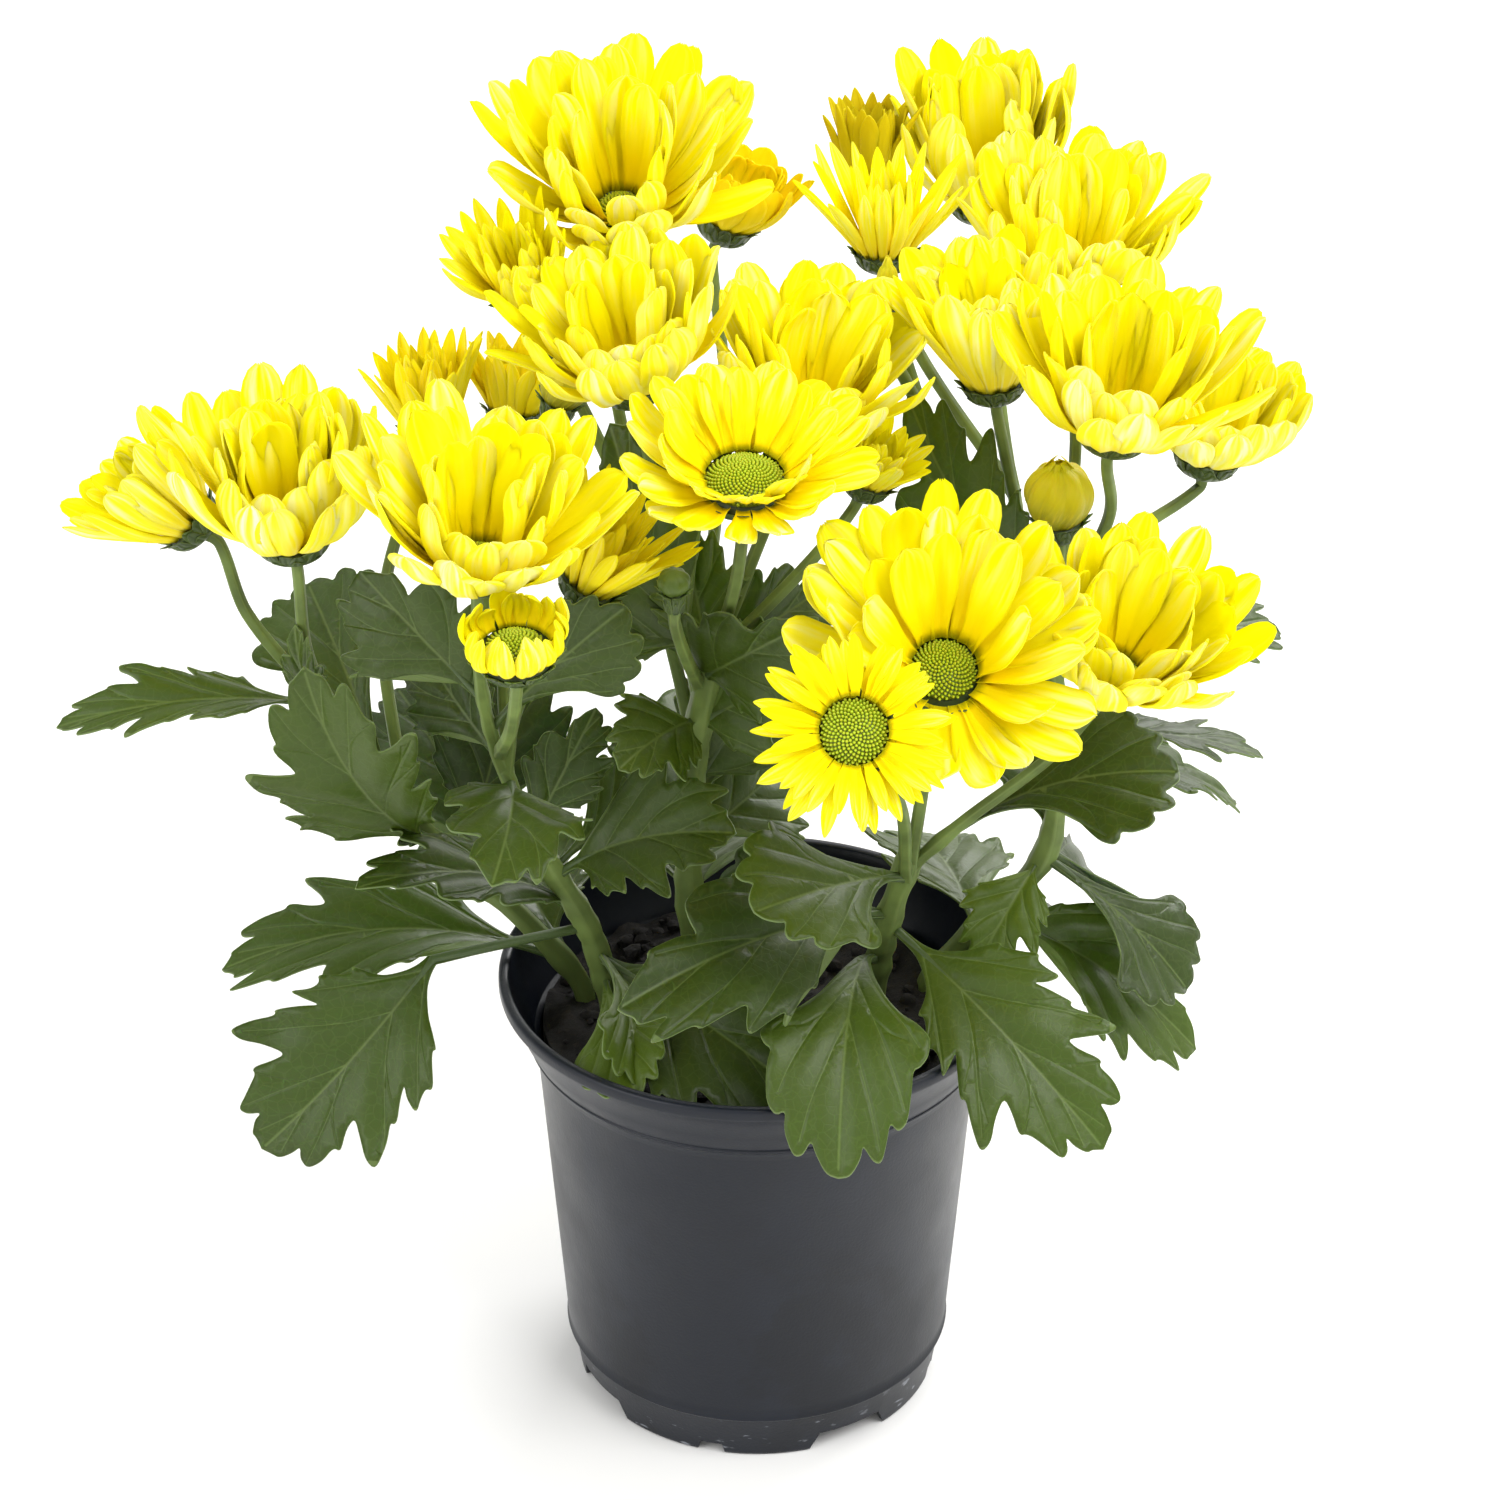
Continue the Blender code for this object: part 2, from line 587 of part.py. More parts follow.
def make_bud(bud, collection, material):
    bm = turned(bud_profile(bud, GAP, 0.7), 10)
    ridge(bm, 10, 0.08, alternate=False)
    obj = object_from(bm, f"petals_{bud.name}", collection, material)
    obj.matrix_world = frame_of(bud)
    return obj


def green_bud(bud, collection):
    """A bud still shut in its sepals. It overlaps its calyx, so that the two join."""
    bm = turned(bud_profile(bud, -1.0, 0.8), 8)
    ridge(bm, 8, 0.08, alternate=False)
    obj = object_from(bm, "green_bud", collection)
    obj.matrix_world = frame_of(bud)
    return obj


def stalk(head, collection):
    """A stalk from the stem to the underside of a head."""
    end = Vector(head.calyx) - axis_of(head) * (CALYX_DEPTH - STALK_SINK)
    path = [Vector(point) for point in head.stalk] + [end]
    return tube("stalk", path, STALK_RADIUS, collection, end_share=0.9)


def along_leaf(leaf, share):
    """Where a leaf's midrib would run if it were straight, and how far along the blade's arch that is."""
    root, tip = Vector(leaf.root), Vector(leaf.tip)
    if leaf.knee is None:
        return root.lerp(tip, share), share
    knee = Vector(leaf.knee)
    if share <= KNEE_SHARE:
        return root.lerp(knee, share / KNEE_SHARE), 0.0
    blade = (share - KNEE_SHARE) / (1 - KNEE_SHARE)
    return knee.lerp(tip, blade), blade


def leaf_sheet(leaf):
    """A leaf as an open sheet: its outline drawn flat in two halves, then folded at the midrib and arched."""
    along = Vector(leaf.tip) - Vector(leaf.knee or leaf.root)
    length = along.length
    along.normalize()
    face = Vector(leaf.face)
    face = (face - along * face.dot(along)).normalized()
    across = face.cross(along)
    edge = TOOTHED_EDGE if leaf.toothed else PLAIN_EDGE
    bm = bmesh.new()
    stalk_end = bm.verts.new((0, 0, 0))
    tip = bm.verts.new((1, 0, 0))
    rib = [bm.verts.new((share, 0, 0)) for share in MIDRIB]
    petiole = PETIOLE_HALF_WIDTH / (leaf.width / 2)
    for side in (1, -1):
        # Bowed towards the half being cut into triangles, the midrib can't give a triangle with no area
        for v in rib:
            v.co.y = side * MIDRIB_BOW * math.sin(math.pi * v.co.x)
        points = [bm.verts.new((share, side * out, 0)) for share, out in [(0, petiole), (KNEE_SHARE, petiole)] + edge]
        loop = [stalk_end] + points + [tip] + rib
        half = bm.faces.new(loop if side < 0 else loop[::-1])
        half.normal_update()
        bmesh.ops.triangulate(bm, faces=[half], ngon_method="BEAUTY")
    for v in rib:
        v.co.y = 0
    for v in bm.verts:
        share, out, _ = v.co
        half = out * leaf.width / 2
        wave = 0.05 * leaf.width * math.sin(share * 11) * abs(out)
        spine, blade = along_leaf(leaf, share)
        lift = 4 * leaf.droop * length * blade * (1 - blade) + abs(half) * 0.22 + wave
        v.co = (spine + across * half + face * lift) * MM
    return bm


def make_leaf(leaf, collection):
    obj = object_from(leaf_sheet(leaf), "leaf_sheet", collection)
    thicken(obj, LEAF_THICKNESS)
    return evaluated_copy(obj, "leaf", collection)


def join_all(name, trunk, pieces, collection, material):
    """One Boolean union of the trunk with a collection of pieces, applied, the pieces then removed."""
    union = trunk.modifiers.new("Union", "BOOLEAN")
    union.operation = "UNION"
    union.operand_type = "COLLECTION"
    union.collection = pieces
    union.solver = "MANIFOLD"
    made = evaluated_copy(trunk, name, collection)
    keep_largest(made)
    made.data.materials.clear()
    made.data.materials.append(material)
    for piece in list(pieces.objects):
        bpy.data.objects.remove(piece)
    bpy.data.collections.remove(pieces)
    return made


def make_stem(stem, collection, material):
    """One leafy stem: its trunk, stalks, leaves, calyxes and green buds in a single body."""
    foot = Vector((*stem.foot, SOIL_TOP - STEM_DEPTH))
    ground = Vector((*stem.foot, SOIL_TOP))
    path = [foot, ground] + [Vector(point) for point in stem.path]
    trunk = tube("trunk", path, stem.radius, collection, end_share=0.75, pieces=2)
    pieces = new_collection(f"pieces of {stem.name}")
    for bloom in BLOOMS:
        if bloom.stem == stem.name:
            stalk(bloom, pieces)
            calyx(bloom, outer_radius(bloom), pieces)
    for bud in BUDS:
        if bud.stem == stem.name:
            stalk(bud, pieces)
            calyx(bud, bud.radius * 0.8, pieces)
            if bud.green:
                green_bud(bud, pieces)
    for leaf in LEAVES:
        if leaf.stem == stem.name:
            make_leaf(leaf, pieces)
    return join_all(f"stem_{stem.name}", trunk, pieces, collection, material)


# Pot and soil

def pot_profile():
    """The pot's section: floor and inner wall from the axis out and up, then down the outside to the foot."""
    inside = [(0, FLOOR_UNDERSIDE + WALL), (SKIRT_TOP_RADIUS - WALL - 0.6, FLOOR_UNDERSIDE + WALL),
              (SKIRT_TOP_RADIUS - WALL, SKIRT_TOP), (BODY_FOOT_RADIUS - WALL, SKIRT_TOP + 1),
              (BODY_TOP_RADIUS - WALL, COLLAR_FOOT), (COLLAR_FOOT_RADIUS - WALL, COLLAR_FOOT + 0.8),
              (COLLAR_TOP_RADIUS - WALL, POT_HEIGHT - LIP_DEPTH + 0.6), (COLLAR_TOP_RADIUS - 0.9, POT_HEIGHT)]
    outside = [(LIP_RADIUS, POT_HEIGHT), (LIP_RADIUS, POT_HEIGHT - LIP_DEPTH),
               (COLLAR_TOP_RADIUS, POT_HEIGHT - LIP_DEPTH), (COLLAR_FOOT_RADIUS, COLLAR_FOOT),
               (BODY_TOP_RADIUS, COLLAR_FOOT - 0.4), (BODY_FOOT_RADIUS, SKIRT_TOP),
               (SKIRT_TOP_RADIUS, SKIRT_TOP - 0.8), (FOOT_RADIUS, 0), (FOOT_RADIUS - WALL, 0)]
    under = [(FOOT_RADIUS - WALL + 0.4, FLOOR_UNDERSIDE), (CENTRE_PAD_RADIUS, FLOOR_UNDERSIDE),
             (CENTRE_PAD_RADIUS, 0), (0, 0)]
    return inside + outside + under


def foot_cutter(name, angle, width, height, collection):
    """A wedge that cuts a notch with sloping sides through the foot ring."""
    bm = bmesh.new()
    bmesh.ops.create_cube(bm, size=1)
    for v in bm.verts:
        narrower = 0.8 if v.co.z > 0 else 1.1
        v.co = Vector((v.co.x * width * narrower, v.co.y * 8 - FOOT_RADIUS, height if v.co.z > 0 else -2)) * MM
    bmesh.ops.rotate(bm, verts=bm.verts, cent=(0, 0, 0), matrix=Matrix.Rotation(math.radians(angle), 3, "Z"))
    return cutter(bm, name, collection)


def make_pot(collection, cutters, material):
    pot = screw("pot", pot_profile(), POT_STEPS, collection, material)
    for quarter in range(4):
        start = quarter * FOOT_CUT_PERIOD
        narrow = foot_cutter("narrow notch", start + NARROW_CUT_AT, NARROW_CUT_WIDTH, NARROW_CUT_HEIGHT, cutters)
        wide = foot_cutter("wide notch", start + WIDE_CUT_AT, WIDE_CUT_WIDTH, WIDE_CUT_HEIGHT, cutters)
        cut(pot, narrow, "Narrow notch")
        cut(pot, wide, "Wide notch")
    for index in range(DRAIN_COUNT):
        around = math.tau * (index + 0.5) / DRAIN_COUNT
        bm = bmesh.new()
        bmesh.ops.create_cone(bm, cap_ends=True, segments=HOLE_SIDES, radius1=DRAIN_RADIUS * MM,
                              radius2=DRAIN_RADIUS * MM, depth=CUT_MARGIN * MM)
        place = Vector((math.cos(around) * DRAIN_RING, math.sin(around) * DRAIN_RING, FLOOR_UNDERSIDE + WALL / 2))
        bmesh.ops.translate(bm, verts=bm.verts, vec=place * MM)
        cut(pot, cutter(bm, "drain hole", cutters), "Drain hole")
    return pot


def soil_profile():
    """The soil's section, from its middle out over the top and down along the inside of the pot."""
    top = [(0, SOIL_TOP + 1), (22, SOIL_TOP + 1), (44, SOIL_TOP - 0.4)]
    side = [(BODY_TOP_RADIUS - WALL - GAP - 0.1, COLLAR_FOOT), (BODY_FOOT_RADIUS - WALL - GAP, SKIRT_TOP + 1.4),
            (SKIRT_TOP_RADIUS - WALL - GAP - 0.2, SKIRT_TOP + 0.4),
            (SKIRT_TOP_RADIUS - WALL - GAP - 0.8, FLOOR_UNDERSIDE + WALL + GAP), (0, FLOOR_UNDERSIDE + WALL + GAP)]
    return top + side


def make_soil(collection, cutters, material):
    screwed = screw("soil section", soil_profile(), POT_STEPS, collection, material)
    soil = evaluated_copy(screwed, "soil", collection)
    chance = random.Random(SEED)
    for v in soil.data.vertices:
        if v.co.z > (SOIL_TOP - 1) * MM and v.co.xy.length < SOIL_EDGE * MM:
            v.co.z += chance.uniform(-SOIL_ROUGHNESS, SOIL_ROUGHNESS) * MM
    for stem in STEMS:
        radius = (stem.radius + GAP + 0.1) / math.cos(math.pi / HOLE_SIDES)
        depth = STEM_DEPTH + GAP + CUT_MARGIN
        bm = bmesh.new()
        bmesh.ops.create_cone(bm, cap_ends=True, segments=HOLE_SIDES, radius1=radius * MM, radius2=radius * MM,
                              depth=depth * MM)
        middle = SOIL_TOP - STEM_DEPTH - GAP + depth / 2
        bmesh.ops.translate(bm, verts=bm.verts, vec=Vector((*stem.foot, middle)) * MM)
        cut(soil, cutter(bm, f"hole {stem.name}", cutters), "Stem hole")
    return soil


def main():
    clear_scene()
    plant = new_collection("pot chrysanthemum")
    cutters = new_collection("cutters")
    plastic = principled("pot plastic", (0.045, 0.05, 0.06), 0.45)
    earth = principled("soil", (0.02, 0.014, 0.009), 0.95)
    green = principled("leaf green", (0.05, 0.11, 0.03), 0.55)
    yellow = principled("petal yellow", (0.95, 0.80, 0.0), 0.5)
    floret = principled("floret green", (0.22, 0.32, 0.02), 0.6)
    make_pot(plant, cutters, plastic)
    make_soil(plant, cutters, earth)
    for stem in STEMS:
        make_stem(stem, plant, green)
    for bloom in BLOOMS:
        make_petals(bloom, plant, yellow)
        if not bloom.closed:
            make_disc(bloom, plant, floret)
    for bud in BUDS:
        if not bud.green:
            make_bud(bud, plant, yellow)


main()
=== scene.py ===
"""Looks of the pot chrysanthemum: fine petals, florets, leaves, stalks, soil and pot, as a Blender add-on.

Lengths in the tables are in millimetres and are turned into metres where a mesh is made. The origin is the
middle of the pot's base, +Z is up, and the side with the most blooms faces -Y.
"""
import math
import random
from dataclasses import dataclass

import bmesh
import bpy
import numpy as np
from mathutils import Matrix, Vector
from mathutils.geometry import delaunay_2d_cdt


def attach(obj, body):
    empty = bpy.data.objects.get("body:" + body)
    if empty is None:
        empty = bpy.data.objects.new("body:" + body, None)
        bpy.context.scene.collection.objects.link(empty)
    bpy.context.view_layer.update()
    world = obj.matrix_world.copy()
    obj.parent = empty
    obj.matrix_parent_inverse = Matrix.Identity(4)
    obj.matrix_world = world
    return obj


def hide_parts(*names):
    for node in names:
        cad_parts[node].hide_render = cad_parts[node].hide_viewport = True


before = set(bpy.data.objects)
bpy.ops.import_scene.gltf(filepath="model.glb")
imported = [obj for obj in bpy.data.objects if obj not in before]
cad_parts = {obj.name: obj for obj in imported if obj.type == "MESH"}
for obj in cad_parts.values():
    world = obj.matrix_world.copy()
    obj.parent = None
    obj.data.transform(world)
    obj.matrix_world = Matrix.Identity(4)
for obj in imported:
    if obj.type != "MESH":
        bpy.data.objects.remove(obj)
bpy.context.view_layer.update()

bl_info = {
    "name": "Pot chrysanthemum",
    "version": (1, 0, 0),
    "blender": (4, 5, 0),
    "location": "3D View > Sidebar > Pot plant",
    "description": "Builds a pot chrysanthemum in bloom",
    "category": "Add Mesh",
}

MM = 0.001
UP = np.array([0, 0, 1.0])
SEED = 7


# The plant's layout

@dataclass
class Stem:
    """A stem of the plant, from its foot in the soil up to where its last stalk leaves it."""

    name: str
    foot: tuple
    path: list
    radius: float


@dataclass
class Bloom:
    """One flower head. lean is how far its axis moves along X and Y for each unit that it rises.

    low and high are how steeply the first and the last petal rise, ring the petals in one turn of the solid
    model, curl how much steeper a petal's tip is than its base. The petals of a strap bloom are narrow and of
    one width, and those of a closed one hide its disc. turns counts its layers of petals, front is how much
    those on its front side are shortened, lowered and curled in, and shade how far they are tinted gold, their
    own colour, and then olive, which is painted shade for blooms that stand in shade.
    """

    name: str
    stem: str
    calyx: tuple
    lean: tuple
    stalk: list
    length: float
    width: float
    low: float
    high: float
    disc: float = 5.5
    ring: float = 8.5
    count: int = 15
    curl: float = 12.0
    strap: bool = False
    closed: bool = False
    turns: int = 3
    front: float = 0.6
    shade: float = 0.0


@dataclass
class Bud:
    """A closed bud: an egg of folded petals, or a green one that belongs to its stem."""

    name: str
    stem: str
    calyx: tuple
    lean: tuple
    stalk: list
    radius: float
    height: float
    green: bool = False


@dataclass
class Leaf:
    """One leaf. face is the way its upper side looks, droop how far its middle stands above its ends.

    A leaf with a knee has a long stalk of its own, which ends there. kind picks its outline and tone how far
    its green goes towards a painted sunlit yellow-green. Chance picks either that is None.
    """

    stem: str
    root: tuple
    tip: tuple
    width: float
    face: tuple
    droop: float = 0.10
    knee: tuple = None
    kind: int = None
    tone: float = None


STEMS = [
    Stem("left", (-44, 9),
         [(-48, 8, 113), (-66, 2, 139), (-81, -2, 157), (-97, -6, 185), (-106, -8, 200)], 2.8),
    Stem("centre_left", (-36, -6), [(-38, -7, 118), (-42, -9, 135), (-53, -14, 160)], 3.2),
    Stem("centre", (-14, 8), [(-17, 5, 134), (-16, 0, 174), (-10, -8, 214)], 3.4),
    Stem("right_front", (29, 2), [(30, -4, 120), (32, -12, 138), (37, -20, 162)], 3.3),
    Stem("right_back", (44, 14),
         [(51, 16, 113), (60, 15, 124), (73, 10, 148), (73, 9, 185), (70, 8, 213)], 3.0),
]

BLOOMS = [
    Bloom("top_left", "centre", (-33, 50, 300), (0, -0.42), [(-15, 0, 180), (-28, 25, 230), (-36, 42, 270)],
          40, 11.5, 36, 68, count=14, front=0.8),
    Bloom("top_left_small", "centre", (-56, 28, 289), (-0.2, -0.35), [(-26, 24, 222), (-43, 38, 255)],
          20, 5.5, 58, 76, disc=4.5, ring=9.5, count=12, strap=True, turns=2, front=0.3),
    Bloom("top_back_small", "centre", (-8, 85, 283), (0.4, 0.05), [(-16, 3, 188), (-8, 60, 245)],
          20, 8, 52, 76, disc=4.5, ring=7.5, count=10, turns=2, shade=0.55),
    Bloom("top_cup", "right_back", (28, 92, 294), (0.0, 0.1), [(64, 48, 226), (38, 82, 255)],
          18, 6, 74, 84, disc=4.0, ring=8.5, count=10, curl=2, strap=True, closed=True, turns=2, front=0.0,
          shade=0.9),
    Bloom("top_centre", "right_back", (31, 60, 286), (0, -0.05), [(71, 9, 198), (45, 40, 240)],
          25, 5.0, 56, 80, disc=4.5, ring=9.5, count=14, curl=6, strap=True, turns=2, front=0.0),
    Bloom("top_right_back", "right_back", (57, 97, 284), (-0.05, 0.0), [(72, 10, 192), (62, 60, 235)],
          38, 11, 56, 76, count=12, front=0.9),
    Bloom("top_right", "right_back", (77, 62, 277), (0.08, -0.15), [(70, 9, 203), (78, 40, 240)],
          34, 11, 42, 70, count=13),
    Bloom("right_upright", "right_back", (56, 18, 270), (-0.12, -0.05), [(70, 8, 208), (63, 13, 235)],
          35, 10.5, 56, 78, disc=4.5, ring=7.5, count=12, curl=6, front=0.3),
    Bloom("right_large", "right_back", (82, -12, 271), (0.12, -0.15), [(70, 8, 211), (83, 3, 240)],
          37, 12, 42, 74, count=14, front=0.8),
    Bloom("right_far", "right_back", (109, 30, 245), (0.16, -0.05), [(70, 8, 209), (88, 15, 229)],
          28, 10.5, 40, 70, count=12),
    Bloom("centre_front", "centre", (-3, -40, 271), (0, -0.29), [(-10, -8, 212), (-5, -28, 240)],
          24, 9.2, 26, 50, disc=8.7, ring=9.5, count=15, turns=2, front=1.0),
    Bloom("centre_back", "centre", (12, 5, 267), (0.15, -0.15), [(-11, -6, 206), (2, 1, 240)],
          33, 11.5, 40, 72, count=13, front=0.8),
    Bloom("centre_leaning", "centre", (-29, 0, 278), (-0.18, -0.15), [(-14, -3, 196), (-23, 2, 242)],
          33, 11.5, 40, 72, count=14, front=0.7),
    Bloom("centre_small", "centre", (26, 0, 253), (0.40, -0.15), [(-9, -8, 211), (8, -6, 229), (18, -3, 240)],
          13.5, 4.8, 58, 80, disc=3.5, ring=8.5, count=10, curl=4, strap=True, turns=2, front=0.0),
    Bloom("far_left", "left", (-133, -8, 246), (-1.05, -0.05), [(-105, -8, 198), (-121, -9, 222)],
          26, 7.5, 60, 80, disc=4.5, ring=7.5, count=12, turns=2, front=0.2, curl=6),
    Bloom("left_large", "left", (-107, -25, 250), (-0.05, -0.12), [(-98, -6, 187), (-106, -17, 214)],
          34.5, 11.5, 52, 76, count=14, front=0.8),
    Bloom("left_back_narrow", "left", (-80, 42, 247), (-0.1, 0.05),
          [(-86, -3, 166), (-92, 18, 204), (-88, 34, 224)],
          22, 5.8, 66, 84, disc=4.5, ring=9.5, count=11, curl=4, strap=True, turns=2, front=0.0, shade=0.3),
    Bloom("left_back_bronze", "left", (-60, 52, 247), (0.1, 0.1),
          [(-73, 0, 148), (-68, 26, 200), (-64, 42, 226)],
          17.5, 6.2, 64, 82, disc=4.5, ring=9.5, count=11, curl=4, strap=True, turns=2, front=0.0, shade=0.35),
    Bloom("centre_left_large", "centre_left", (-62, -55, 258), (0.12, -0.22),
          [(-50, -13, 153), (-61, -25, 191), (-64, -38, 218)],
          35, 12.2, 42, 72, disc=6.0, count=15, front=0.7),
    Bloom("centre_left_half", "centre_left", (-39, -30, 241), (0.55, -0.12),
          [(-60, -24, 188), (-57, -28, 205), (-50, -30, 222)],
          22.5, 4.6, 60, 82, disc=4.5, ring=9.5, count=12, curl=4, strap=True, turns=2, front=0.0, shade=0.3),
    Bloom("centre_left_opening", "centre_left", (-53, -82, 250), (0, -0.30),
          [(-61, -26, 194), (-56, -58, 218)],
          12, 6.0, 64, 74, disc=6.5, ring=10.5, count=12, curl=66, turns=1, front=0.0, strap=True),
    Bloom("right_front_large", "right_front", (42, -55, 231), (0.06, -0.75), [(37, -20, 158), (40, -32, 195)],
          36, 11.2, 12, 58, disc=7.3, ring=9.5, count=16, front=1.3),
    Bloom("front_daisy", "right_front", (21, -87, 233), (-0.05, -1.25), [(36, -19, 155), (33, -48, 192)],
          15.8, 4.7, 0, 14, disc=7.3, ring=11.5, count=18, curl=-8, turns=2, front=0.0, strap=True),
    Bloom("right_low", "right_front", (82, -40, 222), (0.28, -0.36),
          [(37, -20, 159), (50, -25, 175), (69, -30, 195)],
          32.5, 11, 44, 70, count=14, front=0.5),
]

BUDS = [
    Bud("left_back_opening", "centre_left", (-47, 14, 266), (0.3, 0), [(-60, -22, 186), (-60, 0, 225)],
        5.6, 12),
    Bud("right_closed", "right_back", (71, -4, 244), (-0.05, -0.1), [(70, 8, 210), (71, 2, 227)], 7.4, 15),
    Bud("centre_thin", "right_back", (31, 35, 281), (0, 0), [(48, 37, 236), (36, 35, 262)], 2.6, 12),
    Bud("centre_green", "centre", (-19, -45, 246), (0, -0.2), [(-14, -4, 200), (-17, -30, 222)], 3.4, 6,
        green=True),
]

LEAVES = [
    Leaf("left", (-104, -8, 197), (-167, -18, 196), 22, (0.1, -0.25, 1), kind=0),
    Leaf("left", (-78, -1, 154), (-106, -28, 218), 46, (-0.3, -1, 0.3), kind=0),
    Leaf("left", (-77, -1, 152), (-95, -10, 168), 18, (0, -0.4, 1)),
    Leaf("left", (-50, 7, 116), (-134, -4, 119), 36, (0, -0.3, 1)),
    Leaf("left", (-104, -8, 197), (-108, -22, 226), 14, (-0.6, -1, 0)),
    Leaf("left", (-66, 2, 139), (-92, 50, 170), 42, (-0.5, 0.3, 1)),
    Leaf("left", (-48, 8, 115), (-68, 60, 122), 42, (-0.2, 0.4, 1)),
    Leaf("left", (-90, -4, 172), (-112, 40, 205), 38, (-0.5, 0.4, 1)),
    Leaf("left", (-74, 0, 148), (-62, 34, 196), 38, (0.2, -0.8, 0.6)),
    Leaf("centre_left", (-59, -23, 184), (-61, -68, 182), 38, (0, -0.45, 1)),
    Leaf("centre_left", (-45, -10, 141), (-96, -36, 162), 30, (0.2, -0.2, 1)),
    Leaf("centre_left", (-42, -9, 135), (-121, -46, 94), 50, (-0.3, -1, 0.6), knee=(-79, -26, 136), kind=0),
    Leaf("centre_left", (-40, -8, 128), (-29, -50, 115), 22, (0.5, 0, 1), kind=6, tone=1.6),
    Leaf("centre_left", (-49, -13, 152), (-5, -25, 171), 40, (0.1, -0.7, 1), kind=4),
    Leaf("centre_left", (-64, -36, 214), (-92, -26, 242), 38, (-0.4, -1, 0.4)),
    Leaf("centre_left", (-62, -30, 203), (-30, -40, 240), 30, (0.5, -1, 0.7)),
    Leaf("centre_left", (-40, -8, 126), (14, -48, 108), 50, (0.1, -0.8, 1)),
    Leaf("centre", (-17, 4, 140), (-20, 60, 165), 44, (0, 0.5, 1)),
    Leaf("centre", (-17, 5, 132), (-12, 62, 124), 42, (0, 0.5, 1)),
    Leaf("centre", (-16, 1, 160), (14, 50, 190), 44, (0.3, 0.4, 1)),
    Leaf("centre", (-14, -4, 203), (-35, 12, 262), 32, (-0.3, -1, 0.3)),
    Leaf("centre", (-14, -4, 202), (14, -30, 232), 36, (0.4, -1, 0.6)),
    Leaf("centre", (-15, -2, 188), (22, -14, 212), 36, (0.3, -1, 0.6)),
    Leaf("centre", (-16, 0, 170), (8, 20, 206), 40, (0.3, -1, 0.4)),
    Leaf("right_front", (33, -13, 141), (-33, -64, 146), 44, (0, -0.8, 1)),
    Leaf("right_front", (36, -19, 155), (-1, -63, 172), 40, (0, -0.8, 1)),
    Leaf("right_front", (30, -4, 122), (19, -77, 107), 40, (0, -0.4, 1), droop=0.30, kind=6),
    Leaf("right_front", (33, -12, 137), (84, -52, 98), 46, (0.3, -1, 0.7), kind=0),
    Leaf("right_front", (44, -23, 168), (100, -27, 189), 40, (0.1, -0.5, 1)),
    Leaf("right_back", (60, 15, 124), (112, 4, 90), 38, (0.5, -0.6, 1)),
    Leaf("right_back", (71, 11, 144), (108, -2, 112), 36, (0.6, -0.6, 1)),
    Leaf("right_back", (72, 10, 146), (93, 40, 96), 36, (0.8, 0.3, 1)),
    Leaf("right_back", (73, 9, 176), (125, 10, 172), 28, (0.3, 0.2, 1)),
    Leaf("right_back", (73, 9, 170), (120, 24, 152), 32, (0.4, 0.2, 1)),
    Leaf("right_back", (71, 9, 205), (130, 30, 196), 34, (0.3, -0.2, 1)),
    Leaf("right_back", (68, 10, 210), (36, 28, 262), 36, (-0.4, -1, 0.4)),
    Leaf("right_back", (73, 10, 150), (50, 60, 175), 44, (-0.2, 0.5, 1)),
    Leaf("right_back", (56, 16, 118), (40, 68, 116), 42, (0, 0.5, 1)),
    Leaf("centre", (-14, -3, 190), (-33, -26, 189), 27, (-0.2, -1, 0.6)),
    Leaf("centre_left", (-54, -18, 168), (-39, -4, 194), 24, (0.3, -1, 0.3)),
    Leaf("centre_left", (-50, -13, 154), (-30, 10, 168), 26, (0.2, -1, 0.6)),
    Leaf("centre", (-11, -7, 211), (18, 14, 220), 30, (0.2, -1, 0.3)),
    Leaf("centre", (-12, -6, 206), (-18, 4, 238), 26, (0, -1, 0.2)),
    Leaf("centre", (-11, -7, 209), (-45, 14, 222), 34, (0, -1, 0.3)),
    Leaf("centre", (-16, -1, 176), (14, 28, 182), 34, (0, -1, 0.4)),
    Leaf("centre_left", (-61, -25, 191), (-80, -2, 208), 26, (-0.2, -1, 0.4)),
    Leaf("right_back", (71, 11, 143), (55, -8, 124), 24, (0.2, -0.6, 1), tone=1.6),
    Leaf("right_back", (60, 15, 124), (98, 42, 86), 36, (0.3, 0.2, 1)),
    Leaf("centre_left", (-38, -7, 119), (-29, -53, 114), 26, (-0.5, -0.5, 1), kind=6, tone=1.6),
    Leaf("right_front", (31, -9, 130), (-10, 12, 134), 36, (0, -0.6, 1)),
    Leaf("centre", (-17, 4, 150), (8, 34, 158), 34, (0.2, -0.8, 0.6)),
]

